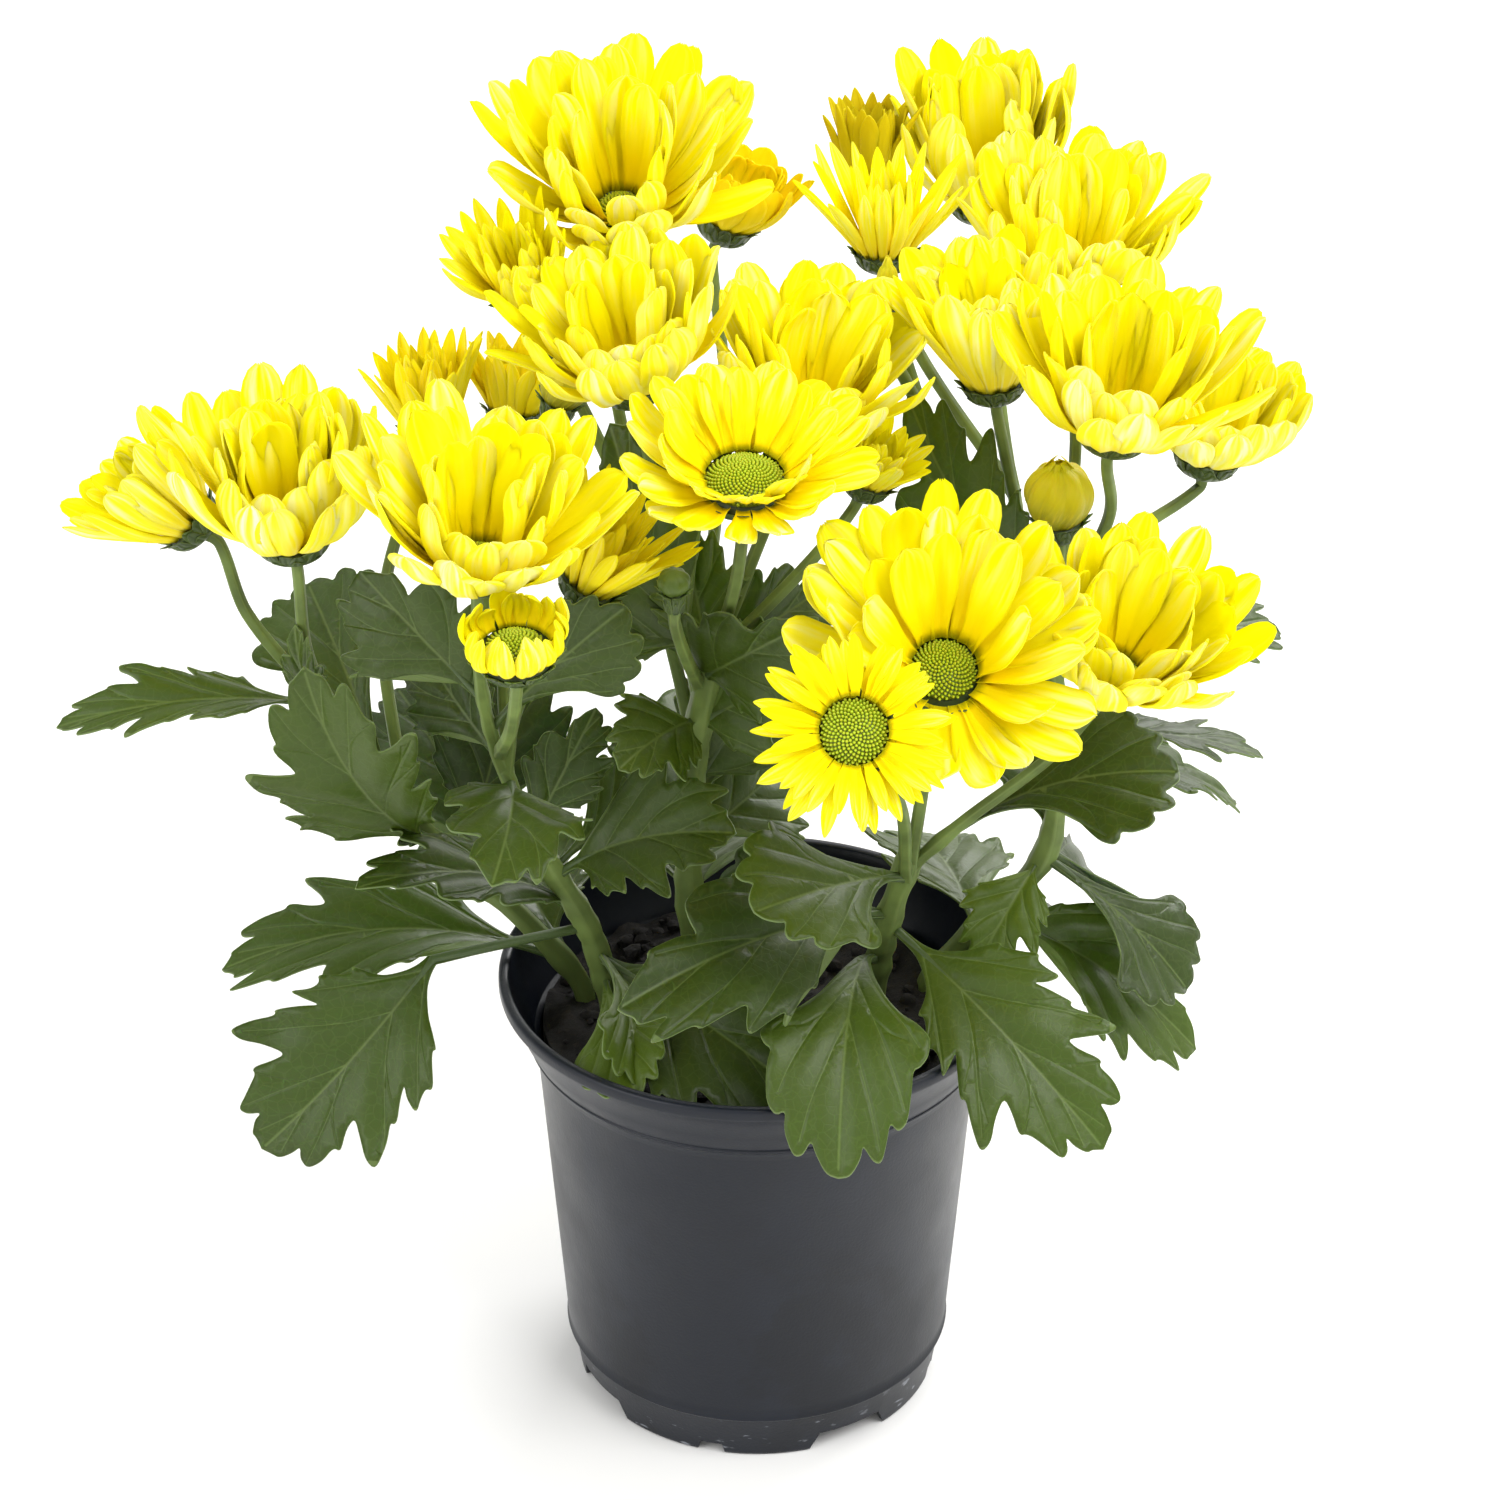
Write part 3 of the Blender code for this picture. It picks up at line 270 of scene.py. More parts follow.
# Halves of a leaf's outline, with the veins in them: how far along the leaf, and how far out of half its width
DEEP_HALF = (
    [(0, 0.05), (0.12, 0.06), (0.18, 0.13), (0.24, 0.30), (0.28, 0.46), (0.305, 0.60), (0.32, 0.56),
     (0.36, 0.66), (0.40, 0.80), (0.42, 0.73), (0.455, 0.76), (0.50, 0.86), (0.497, 0.70), (0.475, 0.56),
     (0.52, 0.66), (0.585, 0.82), (0.60, 0.76), (0.66, 0.90), (0.74, 1.0), (0.742, 0.86), (0.715, 0.66),
     (0.68, 0.46), (0.73, 0.49), (0.805, 0.60), (0.815, 0.52), (0.88, 0.50), (0.94, 0.45), (0.925, 0.34),
     (0.88, 0.25), (0.92, 0.245), (0.965, 0.18), (0.97, 0.12), (1, 0)],
    [[(0.14, 0), (0.26, 0.26), (0.38, 0.54), (0.485, 0.80)], [(0.32, 0), (0.46, 0.28), (0.60, 0.64),
     (0.72, 0.94)], [(0.56, 0), (0.70, 0.18), (0.82, 0.32), (0.92, 0.42)], [(0.78, 0), (0.86, 0.07),
     (0.95, 0.15)]],
    [[(0.26, 0.26), (0.33, 0.48), (0.39, 0.74)], [(0.46, 0.28), (0.52, 0.50), (0.575, 0.77)], [(0.70, 0.18),
     (0.75, 0.34), (0.795, 0.55)], [(0.60, 0.64), (0.66, 0.74), (0.70, 0.80)]],
)
BROAD_HALF = (
    [(0, 0.05), (0.14, 0.06), (0.22, 0.12), (0.30, 0.28), (0.36, 0.44), (0.42, 0.60), (0.47, 0.79),
     (0.49, 0.73), (0.53, 0.80), (0.592, 1.0), (0.60, 0.93), (0.584, 0.83), (0.64, 0.87), (0.722, 0.96),
     (0.718, 0.79), (0.683, 0.60), (0.76, 0.66), (0.852, 0.72), (0.86, 0.64), (0.93, 0.63), (0.98, 0.57),
     (0.935, 0.47), (0.885, 0.38), (0.92, 0.36), (0.968, 0.295), (0.968, 0.22), (0.99, 0.12), (1, 0)],
    [[(0.12, 0), (0.25, 0.30), (0.42, 0.66), (0.575, 0.95)], [(0.32, 0), (0.47, 0.36), (0.62, 0.72),
     (0.71, 0.91)], [(0.50, 0), (0.66, 0.30), (0.84, 0.48), (0.965, 0.55)], [(0.70, 0), (0.84, 0.14),
     (0.955, 0.27)]],
    [[(0.25, 0.30), (0.36, 0.40), (0.46, 0.74)], [(0.66, 0.30), (0.74, 0.44), (0.845, 0.68)]],
)
BLUNT_HALF = (
    [(0, 0.05), (0.08, 0.07), (0.14, 0.24), (0.215, 0.54), (0.235, 0.50), (0.30, 0.68), (0.36, 0.81),
     (0.44, 0.89), (0.46, 0.78), (0.45, 0.60), (0.49, 0.68), (0.55, 0.79), (0.56, 0.72), (0.60, 0.76),
     (0.66, 0.76), (0.70, 0.69), (0.722, 0.62), (0.715, 0.44), (0.70, 0.28), (0.74, 0.32), (0.79, 0.34),
     (0.862, 0.325), (0.865, 0.26), (0.93, 0.17), (1, 0)],
    [[(0.08, 0), (0.17, 0.26), (0.30, 0.55), (0.42, 0.82)], [(0.26, 0), (0.40, 0.30), (0.56, 0.55),
     (0.69, 0.63)], [(0.52, 0), (0.66, 0.14), (0.78, 0.24), (0.85, 0.29)]],
    [[(0.40, 0.30), (0.47, 0.50), (0.54, 0.73)], [(0.17, 0.26), (0.20, 0.36), (0.212, 0.48)]],
)
FAN_HALF = (
    [(0, 0.05), (0.15, 0.06), (0.28, 0.11), (0.40, 0.22), (0.50, 0.38), (0.57, 0.58), (0.62, 0.82),
     (0.665, 0.96), (0.72, 1.0), (0.745, 0.92), (0.745, 0.83), (0.80, 0.87), (0.865, 0.84), (0.885, 0.74),
     (0.868, 0.62), (0.91, 0.62), (0.965, 0.53), (0.972, 0.42), (0.945, 0.31), (0.975, 0.27), (1.0, 0.15),
     (1, 0)],
    [[(0.24, 0), (0.40, 0.18), (0.54, 0.46), (0.68, 0.88)], [(0.40, 0), (0.58, 0.28), (0.74, 0.58),
     (0.84, 0.76)], [(0.58, 0), (0.74, 0.20), (0.86, 0.38), (0.94, 0.48)]],
    [[(0.58, 0.28), (0.64, 0.50), (0.66, 0.72)]],
)
LEAF_KINDS = [(DEEP_HALF, DEEP_HALF), (BROAD_HALF, BLUNT_HALF), (DEEP_HALF, BROAD_HALF),
              (BLUNT_HALF, DEEP_HALF), (BROAD_HALF, DEEP_HALF), (BLUNT_HALF, BROAD_HALF), (FAN_HALF, FAN_HALF)]
TEMPLATE_LENGTH = 80.0
TEMPLATE_HALF = 21.0
# Distance between the points that fill a leaf's template
TEMPLATE_SPACING = 1.9
# Share of a leaf with a knee that is its stalk
KNEE_SHARE = 0.10


# Settings

class PotSettings(bpy.types.PropertyGroup):
    height: bpy.props.FloatProperty(
        name="Height", description="Height of the pot", default=0.118, unit="LENGTH")
    lip_radius: bpy.props.FloatProperty(
        name="Lip radius", description="Outer radius of the rolled lip", default=0.065, unit="LENGTH")
    wall: bpy.props.FloatProperty(
        name="Wall", description="Thickness of the pot's wall", default=0.0014, unit="LENGTH")
    colour: bpy.props.FloatVectorProperty(
        name="Plastic", description="Colour of the plastic", default=(0.0035, 0.0058, 0.0120), subtype="COLOR")
    roughness: bpy.props.FloatProperty(
        name="Roughness", description="How dull the plastic is", default=0.36)


class SoilSettings(bpy.types.PropertyGroup):
    top: bpy.props.FloatProperty(
        name="Level", description="Height of the soil's surface", default=0.104, unit="LENGTH")
    crumbs: bpy.props.IntProperty(
        name="Crumbs", description="Number of loose crumbs on the surface", default=420)
    colour: bpy.props.FloatVectorProperty(
        name="Soil", description="Colour of the damp soil", default=(0.005, 0.0036, 0.0026), subtype="COLOR")


class FoliageSettings(bpy.types.PropertyGroup):
    thickness: bpy.props.FloatProperty(
        name="Leaf thickness", description="Thickness of a leaf", default=0.0005, unit="LENGTH")
    leaf: bpy.props.FloatVectorProperty(
        name="Leaf", description="Colour of a leaf's upper side", default=(0.020, 0.036, 0.0017),
        subtype="COLOR")
    underside: bpy.props.FloatVectorProperty(
        name="Underside", description="Colour of a leaf's underside", default=(0.11, 0.16, 0.085),
        subtype="COLOR")
    vein: bpy.props.FloatVectorProperty(
        name="Veins", description="Colour of the veins", default=(0.22, 0.30, 0.09), subtype="COLOR")
    stalk: bpy.props.FloatVectorProperty(
        name="Stalks", description="Colour of the stalks", default=(0.170, 0.240, 0.060), subtype="COLOR")


class BloomSettings(bpy.types.PropertyGroup):
    thickness: bpy.props.FloatProperty(
        name="Petal thickness", description="Thickness of a petal", default=0.0004, unit="LENGTH")
    density: bpy.props.FloatProperty(
        name="Density", description="Petals for each petal of the solid model", default=2.05)
    lemon: bpy.props.FloatVectorProperty(
        name="Lemon", description="Colour of the petals' tips", default=(1.0, 0.89, 0.0005), subtype="COLOR")
    # Gold is partly the petals' own deeper colour at their base and partly painted shade deep inside a bloom.
    gold: bpy.props.FloatVectorProperty(
        name="Gold", description="Colour deep inside a bloom", default=(1.0, 0.75, 0.0003), subtype="COLOR")
    # Cream also paints the highlights on the petals' ridges and on the lit front petals.
    cream: bpy.props.FloatVectorProperty(
        name="Cream", description="Colour of the palest petals' tips", default=(1.0, 0.99, 0.55),
        subtype="COLOR")
    floret: bpy.props.FloatVectorProperty(
        name="Florets", description="Colour of the disc's florets", default=(0.48, 0.62, 0.014),
        subtype="COLOR")


class StageSettings(bpy.types.PropertyGroup):
    floor: bpy.props.FloatVectorProperty(
        name="Floor", description="Colour of the floor", default=(0.90, 0.895, 0.88), subtype="COLOR")
    key: bpy.props.FloatProperty(
        name="Key light", description="Power of the main light", default=20.0, unit="POWER")
    fill: bpy.props.FloatProperty(
        name="Fill light", description="Power of the light from the left", default=11.0, unit="POWER")
    sky: bpy.props.FloatProperty(
        name="Sky", description="Strength of the light from all round", default=0.82)
    lens: bpy.props.FloatProperty(
        name="Lens", description="Focal length of the camera in millimetres", default=98.4)


# Meshes

class Pieces:
    """Gathers points, faces and the values that the materials read, and makes one mesh of them."""

    def __init__(self):
        self.points = []
        self.faces = []
        self.marks = {}
        self.count = 0

    def add(self, points, faces, **marks):
        points = np.asarray(points, float).reshape(-1, 3)
        self.points.append(points)
        self.faces.extend((np.asarray(faces) + self.count).tolist())
        for name, values in marks.items():
            self.marks.setdefault(name, []).append(np.broadcast_to(np.asarray(values, float), (len(points),)))
        self.count += len(points)

    def cap(self, sides):
        """Closes a tube with one face over the last ring of points that was added."""
        self.faces.append(list(range(self.count - sides, self.count)))

    def finish(self, name, material):
        mesh = bpy.data.meshes.new(name)
        mesh.from_pydata(np.concatenate(self.points).tolist(), [], self.faces)
        for mark, values in self.marks.items():
            layer = mesh.attributes.new(mark, "FLOAT", "POINT")
            layer.data.foreach_set("value", np.concatenate(values).astype(np.float32))
        mesh.materials.append(material)
        mesh.update()
        mesh.shade_smooth()
        return linked(name, mesh)


def linked(name, data):
    """A new object in the scene."""
    obj = bpy.data.objects.new(name, data)
    bpy.context.scene.collection.objects.link(obj)
    return obj


def sheet_faces(rows, columns):
    """Faces of a thin closed sheet: its upper grid, its lower grid and the rim between them."""
    index = np.arange(rows * columns).reshape(rows, columns)
    a, b, c, d = index[:-1, :-1], index[1:, :-1], index[1:, 1:], index[:-1, 1:]
    upper = np.stack([a, b, c, d], -1).reshape(-1, 4)
    lower = np.stack([a, d, c, b], -1).reshape(-1, 4) + rows * columns
    border = np.concatenate([index[0], index[1:, -1], index[-1, -2::-1], index[-2:0:-1, 0]])
    after = np.roll(border, -1)
    rim = np.stack([border, after, after + rows * columns, border + rows * columns], -1)
    return np.concatenate([upper, lower, rim])


def tube_faces(rings, sides):
    """Faces of a tube's wall. Both of its ends stay open."""
    index = np.arange(rings * sides).reshape(rings, sides)
    after = np.roll(index, -1, axis=1)
    return np.stack([index[:-1], after[:-1], after[1:], index[1:]], -1).reshape(-1, 4)


def two_sided(upper, lower):
    """Points of a thin sheet: all those of its upper side, then all those of its lower side."""
    return np.concatenate([upper.reshape(-1, 3), lower.reshape(-1, 3)])


def directions(around):
    """The ways outwards and sideways at an angle round the axis."""
    x, y = math.cos(around), math.sin(around)
    return np.array([x, y, 0]), np.array([-y, x, 0])


def angles_round(sides):
    """Evenly spaced angles, one for each side of a tube."""
    return np.arange(sides) * math.tau / sides


def ring_points(angles, radius, height):
    """Points round the axis at one height."""
    return np.stack([np.cos(angles) * radius, np.sin(angles) * radius, np.full(len(angles), height)], -1)


def smoothly(x, low, high):
    t = np.clip((np.asarray(x, float) - low) / (high - low), 0, 1)
    return t * t * (3 - 2 * t)


def unit(vector):
    return vector / np.linalg.norm(vector)


def placed(matrix, points):
    """Points in a piece's own frame, in millimetres, moved to the plant's frame in metres."""
    turn = np.array(matrix.to_3x3())
    shift = np.array(matrix.translation)
    return points.reshape(-1, 3) @ turn.T * MM + shift


def dressed(obj, slot, *nodes):
    """Rides a finished piece on the plant and lets it stand for its solids."""
    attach(obj, "root")
    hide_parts(*nodes)


# Materials

def scaled(colour, share):
    """A colour made darker or lighter."""
    return tuple(channel * share for channel in colour)


class Finish:
    """A Principled material and short ways to add the nodes behind it."""

    def __init__(self, name, roughness, **values):
        self.material = bpy.data.materials.new(name)
        self.material.use_nodes = True
        self.tree = self.material.node_tree
        self.shader = self.tree.nodes["Principled BSDF"]
        self.shader.inputs["Roughness"].default_value = roughness
        for socket, value in values.items():
            self.shader.inputs[socket.replace("_", " ")].default_value = value

    def node(self, kind, inputs=(), **settings):
        made = self.tree.nodes.new(kind)
        for key, value in settings.items():
            setattr(made, key, value)
        for key, value in dict(inputs).items():
            if isinstance(value, bpy.types.NodeSocket):
                self.tree.links.new(value, made.inputs[key])
            elif made.inputs[key].type == "RGBA":
                made.inputs[key].default_value = (*value, 1)
            else:
                made.inputs[key].default_value = value
        return made

    def mark(self, name):
        return self.node("ShaderNodeAttribute", attribute_name=name).outputs["Fac"]

    def math(self, operation, a, b=0.0):
        return self.node("ShaderNodeMath", {0: a, 1: b}, operation=operation).outputs[0]

    def times(self, a, b):
        return self.math("MULTIPLY", a, b)

    def step(self, value, low, high):
        inputs = {"Value": value, "From Min": low, "From Max": high}
        return self.node("ShaderNodeMapRange", inputs, interpolation_type="SMOOTHSTEP").outputs[0]

    def mix(self, share, first, second, amount=None):
        """Goes from the first colour to the second by a share, which an amount makes smaller."""
        if amount is not None:
            share = self.times(share, amount)
        return self.node("ShaderNodeMix", {0: share, 6: first, 7: second}, data_type="RGBA").outputs[2]

    def place(self):
        return self.node("ShaderNodeTexCoord").outputs["Object"]

    def squeezed(self, place, share):
        """A place scaled along its height alone."""
        return self.node("ShaderNodeMapping", {"Vector": place, "Scale": (1.0, 1.0, share)}).outputs[0]

    def noise(self, vector, scale, detail, roughness=0.5):
        inputs = {"Vector": vector, "Scale": scale, "Detail": detail, "Roughness": roughness}
        return self.node("ShaderNodeTexNoise", inputs).outputs[0]

    def vector(self, x, y, z=0.0):
        return self.node("ShaderNodeCombineXYZ", {0: x, 1: y, 2: z}).outputs[0]

    def colour(self, socket):
        self.tree.links.new(socket, self.shader.inputs["Base Color"])

    def rough(self, value, **spread):
        """Roughness that follows a value, from its least to its most."""
        inputs = {key.replace("_", " "): number for key, number in spread.items()}
        varied = self.node("ShaderNodeMapRange", {"Value": value, **inputs}).outputs[0]
        self.tree.links.new(varied, self.shader.inputs["Roughness"])

    def bump(self, height, distance, strength):
        inputs = {"Height": height, "Distance": distance, "Strength": strength}
        self.tree.links.new(self.node("ShaderNodeBump", inputs).outputs[0], self.shader.inputs["Normal"])


def petal_finish(settings):
    """Petal: golden at its base, partly painted shade, then lemon, with fine streaks, painted cream highlights
    on its ridges, cream tips on the palest that are partly painted highlight, and olive painted shade.
    """
    golden_tint, olive, green_throat_and_shade = (0.92, 0.68, 0.0020), (0.40, 0.35, 0.006), (0.30, 0.32, 0.004)
    f = Finish("petal", 0.6, Subsurface_Weight=0.45, Subsurface_Scale=0.0008,
               Subsurface_Radius=(1.0, 0.9, 0.03), Specular_IOR_Level=0.06)
    along, across, tone = f.mark("along"), f.mark("across"), f.mark("tone")
    under, shade, pale = f.mark("under"), f.mark("shade"), f.mark("pale")
    streaks = f.noise(f.vector(f.times(across, 2.2), along, f.times(tone, 40)), 1.9, 2.0, roughness=0.4)
    groove = f.math("COSINE", f.times(across, PETAL_FOLDS))
    ridge = f.step(groove, 0.4, -1.0)
    # Golden towards the base, lemon towards the tip: partly the petals' own deeper colour, partly painted
    # shade deep inside the bloom.
    depth = f.step(f.math("ADD", along, f.times(tone, 0.22)), 0.14, 0.80)
    inner = f.mix(depth, settings.gold, settings.lemon)
    # lit: painted cream highlights along the ridges and streaks, which also reach the tips of the palest
    # petals.
    lit = f.times(f.step(streaks, 0.35, 0.70), f.math("ADD", 0.35, f.times(ridge, 0.65)))
    tips = f.times(f.step(along, 0.30, 0.90), pale)
    inner = f.mix(lit, inner, settings.cream, tips)
    # Undersides turn cream where the petal is pale, with more painted highlight where lit is high.
    outside = f.times(under, f.math("ADD", 0.05, f.times(lit, 0.45)))
    body = f.mix(outside, inner, settings.cream, pale)
    # The shade mark tints a petal gold, the bronze blooms' own colour, and then olive, which is painted shade
    # on blooms that stand in shade.
    body = f.mix(f.step(shade, 0.0, 0.6), body, golden_tint)
    body = f.mix(f.step(shade, 0.45, 1.2), body, olive)
    # A green throat at the very base: partly the petals' own green, partly painted shade in the gaps round the
    # disc.
    f.colour(f.mix(f.step(along, 0.10, 0.0), body, green_throat_and_shade, 0.70))
    f.bump(f.math("SUBTRACT", streaks, f.times(groove, 0.20)), 0.0005, 0.30)
    return f.material


def bud_finish():
    """Closed petals: olive yellow below, golden above, with fine streaks."""
    olive, golden, streaked = (0.27, 0.26, 0.005), (0.72, 0.63, 0.006), (0.66, 0.56, 0.01)
    f = Finish("bud petal", 0.5, Subsurface_Weight=0.15, Subsurface_Scale=0.002, Specular_IOR_Level=0.3)
    along, across = f.mark("along"), f.mark("across")
    streaks = f.noise(f.vector(f.times(across, 30.0), f.times(along, 2.0)), 2.0, 4.0)
    body = f.mix(f.step(along, 0.0, 0.95), olive, golden)
    f.colour(f.mix(f.step(streaks, 0.45, 0.7), body, streaked, 0.5))
    f.bump(streaks, 0.0005, 0.5)
    return f.material


def floret_finish(settings):
    """Florets of the disc: lime tips over a darker green that is painted shade between them, a little uneven.
    """
    between, yellower = (0.15, 0.20, 0.005), (0.50, 0.52, 0.02)
    f = Finish("floret", 0.45, Subsurface_Weight=0.15, Subsurface_Scale=0.001)
    # Darker at each floret's foot and on the dome under them: painted shade in the gaps between the florets.
    body = f.mix(f.mark("lift"), between, settings.floret)
    f.colour(f.mix(f.mark("tone"), body, yellower, 0.40))
    return f.material


def leaf_finish(settings):
    """Leaf: satin olive green, painted sunlit yellow-green on some, with a fine pale midrib, faint side veins,
    a painted highlight on its thin margin, greyer below with painted shade.
    """
    painted_sunlit_green, dull = (0.072, 0.118, 0.004), (0.08, 0.12, 0.05)
    f = Finish("leaf", 0.5, Subsurface_Weight=0.12, Subsurface_Scale=0.002, Subsurface_Radius=(0.6, 1.0, 0.05),
               Specular_IOR_Level=0.36)
    vein, margin, tone, under = f.mark("vein"), f.mark("margin"), f.mark("tone"), f.mark("under")
    place = f.place()
    mottle = f.noise(place, 32.0, 4.0, roughness=0.6)
    dimple = f.noise(place, 330.0, 2.0)
    spacing = {"Vector": place, "Scale": 380.0}
    cells = f.node("ShaderNodeTexVoronoi", spacing, feature="DISTANCE_TO_EDGE").outputs[0]
    net = f.step(cells, 0.09, 0.0)
    upper = f.mix(f.step(mottle, 0.35, 0.72), settings.leaf, scaled(settings.leaf, 1.5))
    # Leaves go towards a painted sunlit yellow-green by their tone.
    upper = f.mix(tone, upper, painted_sunlit_green, 0.60)
    upper = f.mix(net, upper, settings.vein, 0.05)
    # Underside: the leaf's own greyer green, mottled with the dull colour, which is painted shade.
    body = f.mix(under, upper, f.mix(mottle, settings.underside, dull))
    body = f.mix(f.step(vein, 0.26, 0.03), body, settings.vein, 0.28)
    # A painted highlight along the thin margin, where the leaf's edge catches the light.
    f.colour(f.mix(f.step(margin, 0.15, 0.0), body, settings.vein, 0.35))
    f.rough(mottle, To_Min=0.32, To_Max=0.52)
    groove = f.math("SUBTRACT", f.step(vein, 0.0, 0.9), f.times(net, 0.07))
    f.bump(f.math("ADD", groove, f.times(dimple, 0.6)), 0.0004, 0.5)
    return f.material


def stalk_finish(settings):
    """Stalk: mid green with paler ribs, uneven, and darker near the soil."""
    f = Finish("stalk", 0.5, Subsurface_Weight=0.08, Subsurface_Scale=0.002, Specular_IOR_Level=0.25)
    rib, along = f.mark("rib"), f.mark("along")
    blotch = f.noise(f.place(), 90.0, 4.0)
    body = f.mix(f.step(blotch, 0.3, 0.7), scaled(settings.stalk, 0.55), settings.stalk)
    body = f.mix(f.step(rib, 0.2, 1.0), body, settings.vein, 0.35)
    f.colour(f.mix(f.step(along, 0.16, 0.104), body, scaled(settings.stalk, 0.7)))
    f.bump(blotch, 0.0003, 0.4)
    return f.material


def plastic_finish(settings):
    """Pot plastic: dark slate, satin, with dried water marks, a little dust and pale streaks along the foot.
    """
    pale_streak = (0.30, 0.32, 0.36)
    f = Finish("pot plastic", settings.roughness, Specular_IOR_Level=0.36)
    place = f.place()
    height = f.node("ShaderNodeSeparateXYZ", {0: place}).outputs[2]
    cloudy = f.noise(place, 22.0, 6.0, roughness=0.6)
    dust = f.step(f.noise(f.squeezed(place, 0.45), 46.0, 5.0), 0.50, 0.75)
    body = f.mix(dust, settings.colour, scaled(settings.colour, 2.2), 0.25)
    marks = f.times(f.step(cloudy, 0.50, 0.57), f.step(height, 0.085, 0.05))
    body = f.mix(marks, body, scaled(settings.colour, 0.45), 0.55)
    # Paler streaks low on the foot ring.
    streak_noise = f.noise(f.squeezed(place, 3.0), 190.0, 5.0)
    foot_streaks = f.times(f.step(streak_noise, 0.62, 0.72), f.step(height, 0.0125, 0.009))
    f.colour(f.mix(foot_streaks, body, pale_streak, 0.6))
    least, most = settings.roughness - 0.08, settings.roughness + 0.12
    f.rough(cloudy, From_Min=0.3, From_Max=0.7, To_Min=least, To_Max=most)
    grain = f.noise(place, 1400.0, 2.0)
    f.bump(f.math("ADD", grain, f.times(cloudy, 3.0)), 0.00012, 0.35)
    return f.material


def soil_finish(settings):
    """Damp compost: nearly black, with brown fibres and paler grit."""
    paler = (0.10, 0.075, 0.05)
    f = Finish("soil", 0.9)
    place = f.place()
    lumps = f.noise(place, 260.0, 6.0, roughness=0.7)
    grit = f.node("ShaderNodeTexVoronoi", {"Vector": place, "Scale": 520.0}).outputs["Color"]
    body = f.mix(lumps, scaled(settings.colour, 0.4), scaled(settings.colour, 1.9))
    f.colour(f.mix(f.step(grit, 0.72, 0.95), body, paler, 0.12))
    f.bump(lumps, 0.0012, 1.0)
    return f.material


# Frames of the flower heads

def axis_of(head):
    return Vector((*head.lean, 1)).normalized()


def frame_of(head):
    """A head's own frame: its origin on top of the calyx, its Z along the flower's axis."""
    turn = Vector((0, 0, 1)).rotation_difference(axis_of(head)).to_matrix().to_4x4()
    return Matrix.Translation(Vector(head.calyx) * MM) @ turn


def reach_of(bloom):
    return bloom.length + bloom.disc


def middle_rise(bloom):
    return math.radians(bloom.low + bloom.high) / 2


def outer_radius(bloom):
    """How far out the lowest turn of petals grows. The calyx under it reaches as far."""
    return bloom.disc + 1.0 + 1.6 * bloom.count / bloom.ring * math.sin(middle_rise(bloom))


def heart_of(bloom):
    """The middle of the bloom's cup, which its share of the room is measured from."""
    return Vector(bloom.calyx) + axis_of(bloom) * (0.5 * bloom.length * math.sin(middle_rise(bloom)))


def walls_round(bloom):
    """Planes between a bloom and each near one. Crowded petals keep to their own bloom's side of them."""
    walls = []
    for other in BLOOMS:
        if other is bloom:
            continue
        between = heart_of(other) - heart_of(bloom)
        if between.length > reach_of(other) + reach_of(bloom):
            continue
        share = reach_of(bloom) / (reach_of(bloom) + reach_of(other))
        walls.append((np.array(heart_of(bloom) + between * share), np.array(between.normalized())))
    return walls


def is_clear(points, walls, margin):
    return all(((points - place) @ away).max() < -margin for place, away in walls)


# Petals

PETAL_ROWS = 13
PETAL_COLUMNS = 9
ROW_SHARES = 1 - (1 - np.linspace(0, 1, PETAL_ROWS)) ** 1.35
COLUMN_SHARES = np.linspace(-1, 1, PETAL_COLUMNS)
PETAL_FOLDS = 7.0
# How far petals may reach past the planes that part two blooms
CROWDING = 5.0


def petal_width(shares, strap):
    """How wide a petal is along its length, as a share of its widest place."""
    if strap:
        body, turn = 0.52 + 0.48 * smoothly(shares, 0.0, 0.40), 0.58
    else:
        body, turn = 0.42 + 0.58 * smoothly(shares, 0.0, 0.58), 0.78
    beyond = np.clip((shares - turn) / (1 - turn), 0, 1)
    return body * np.maximum(1 - beyond ** 2.1, 0.02) ** (0.72 if strap else 0.5)


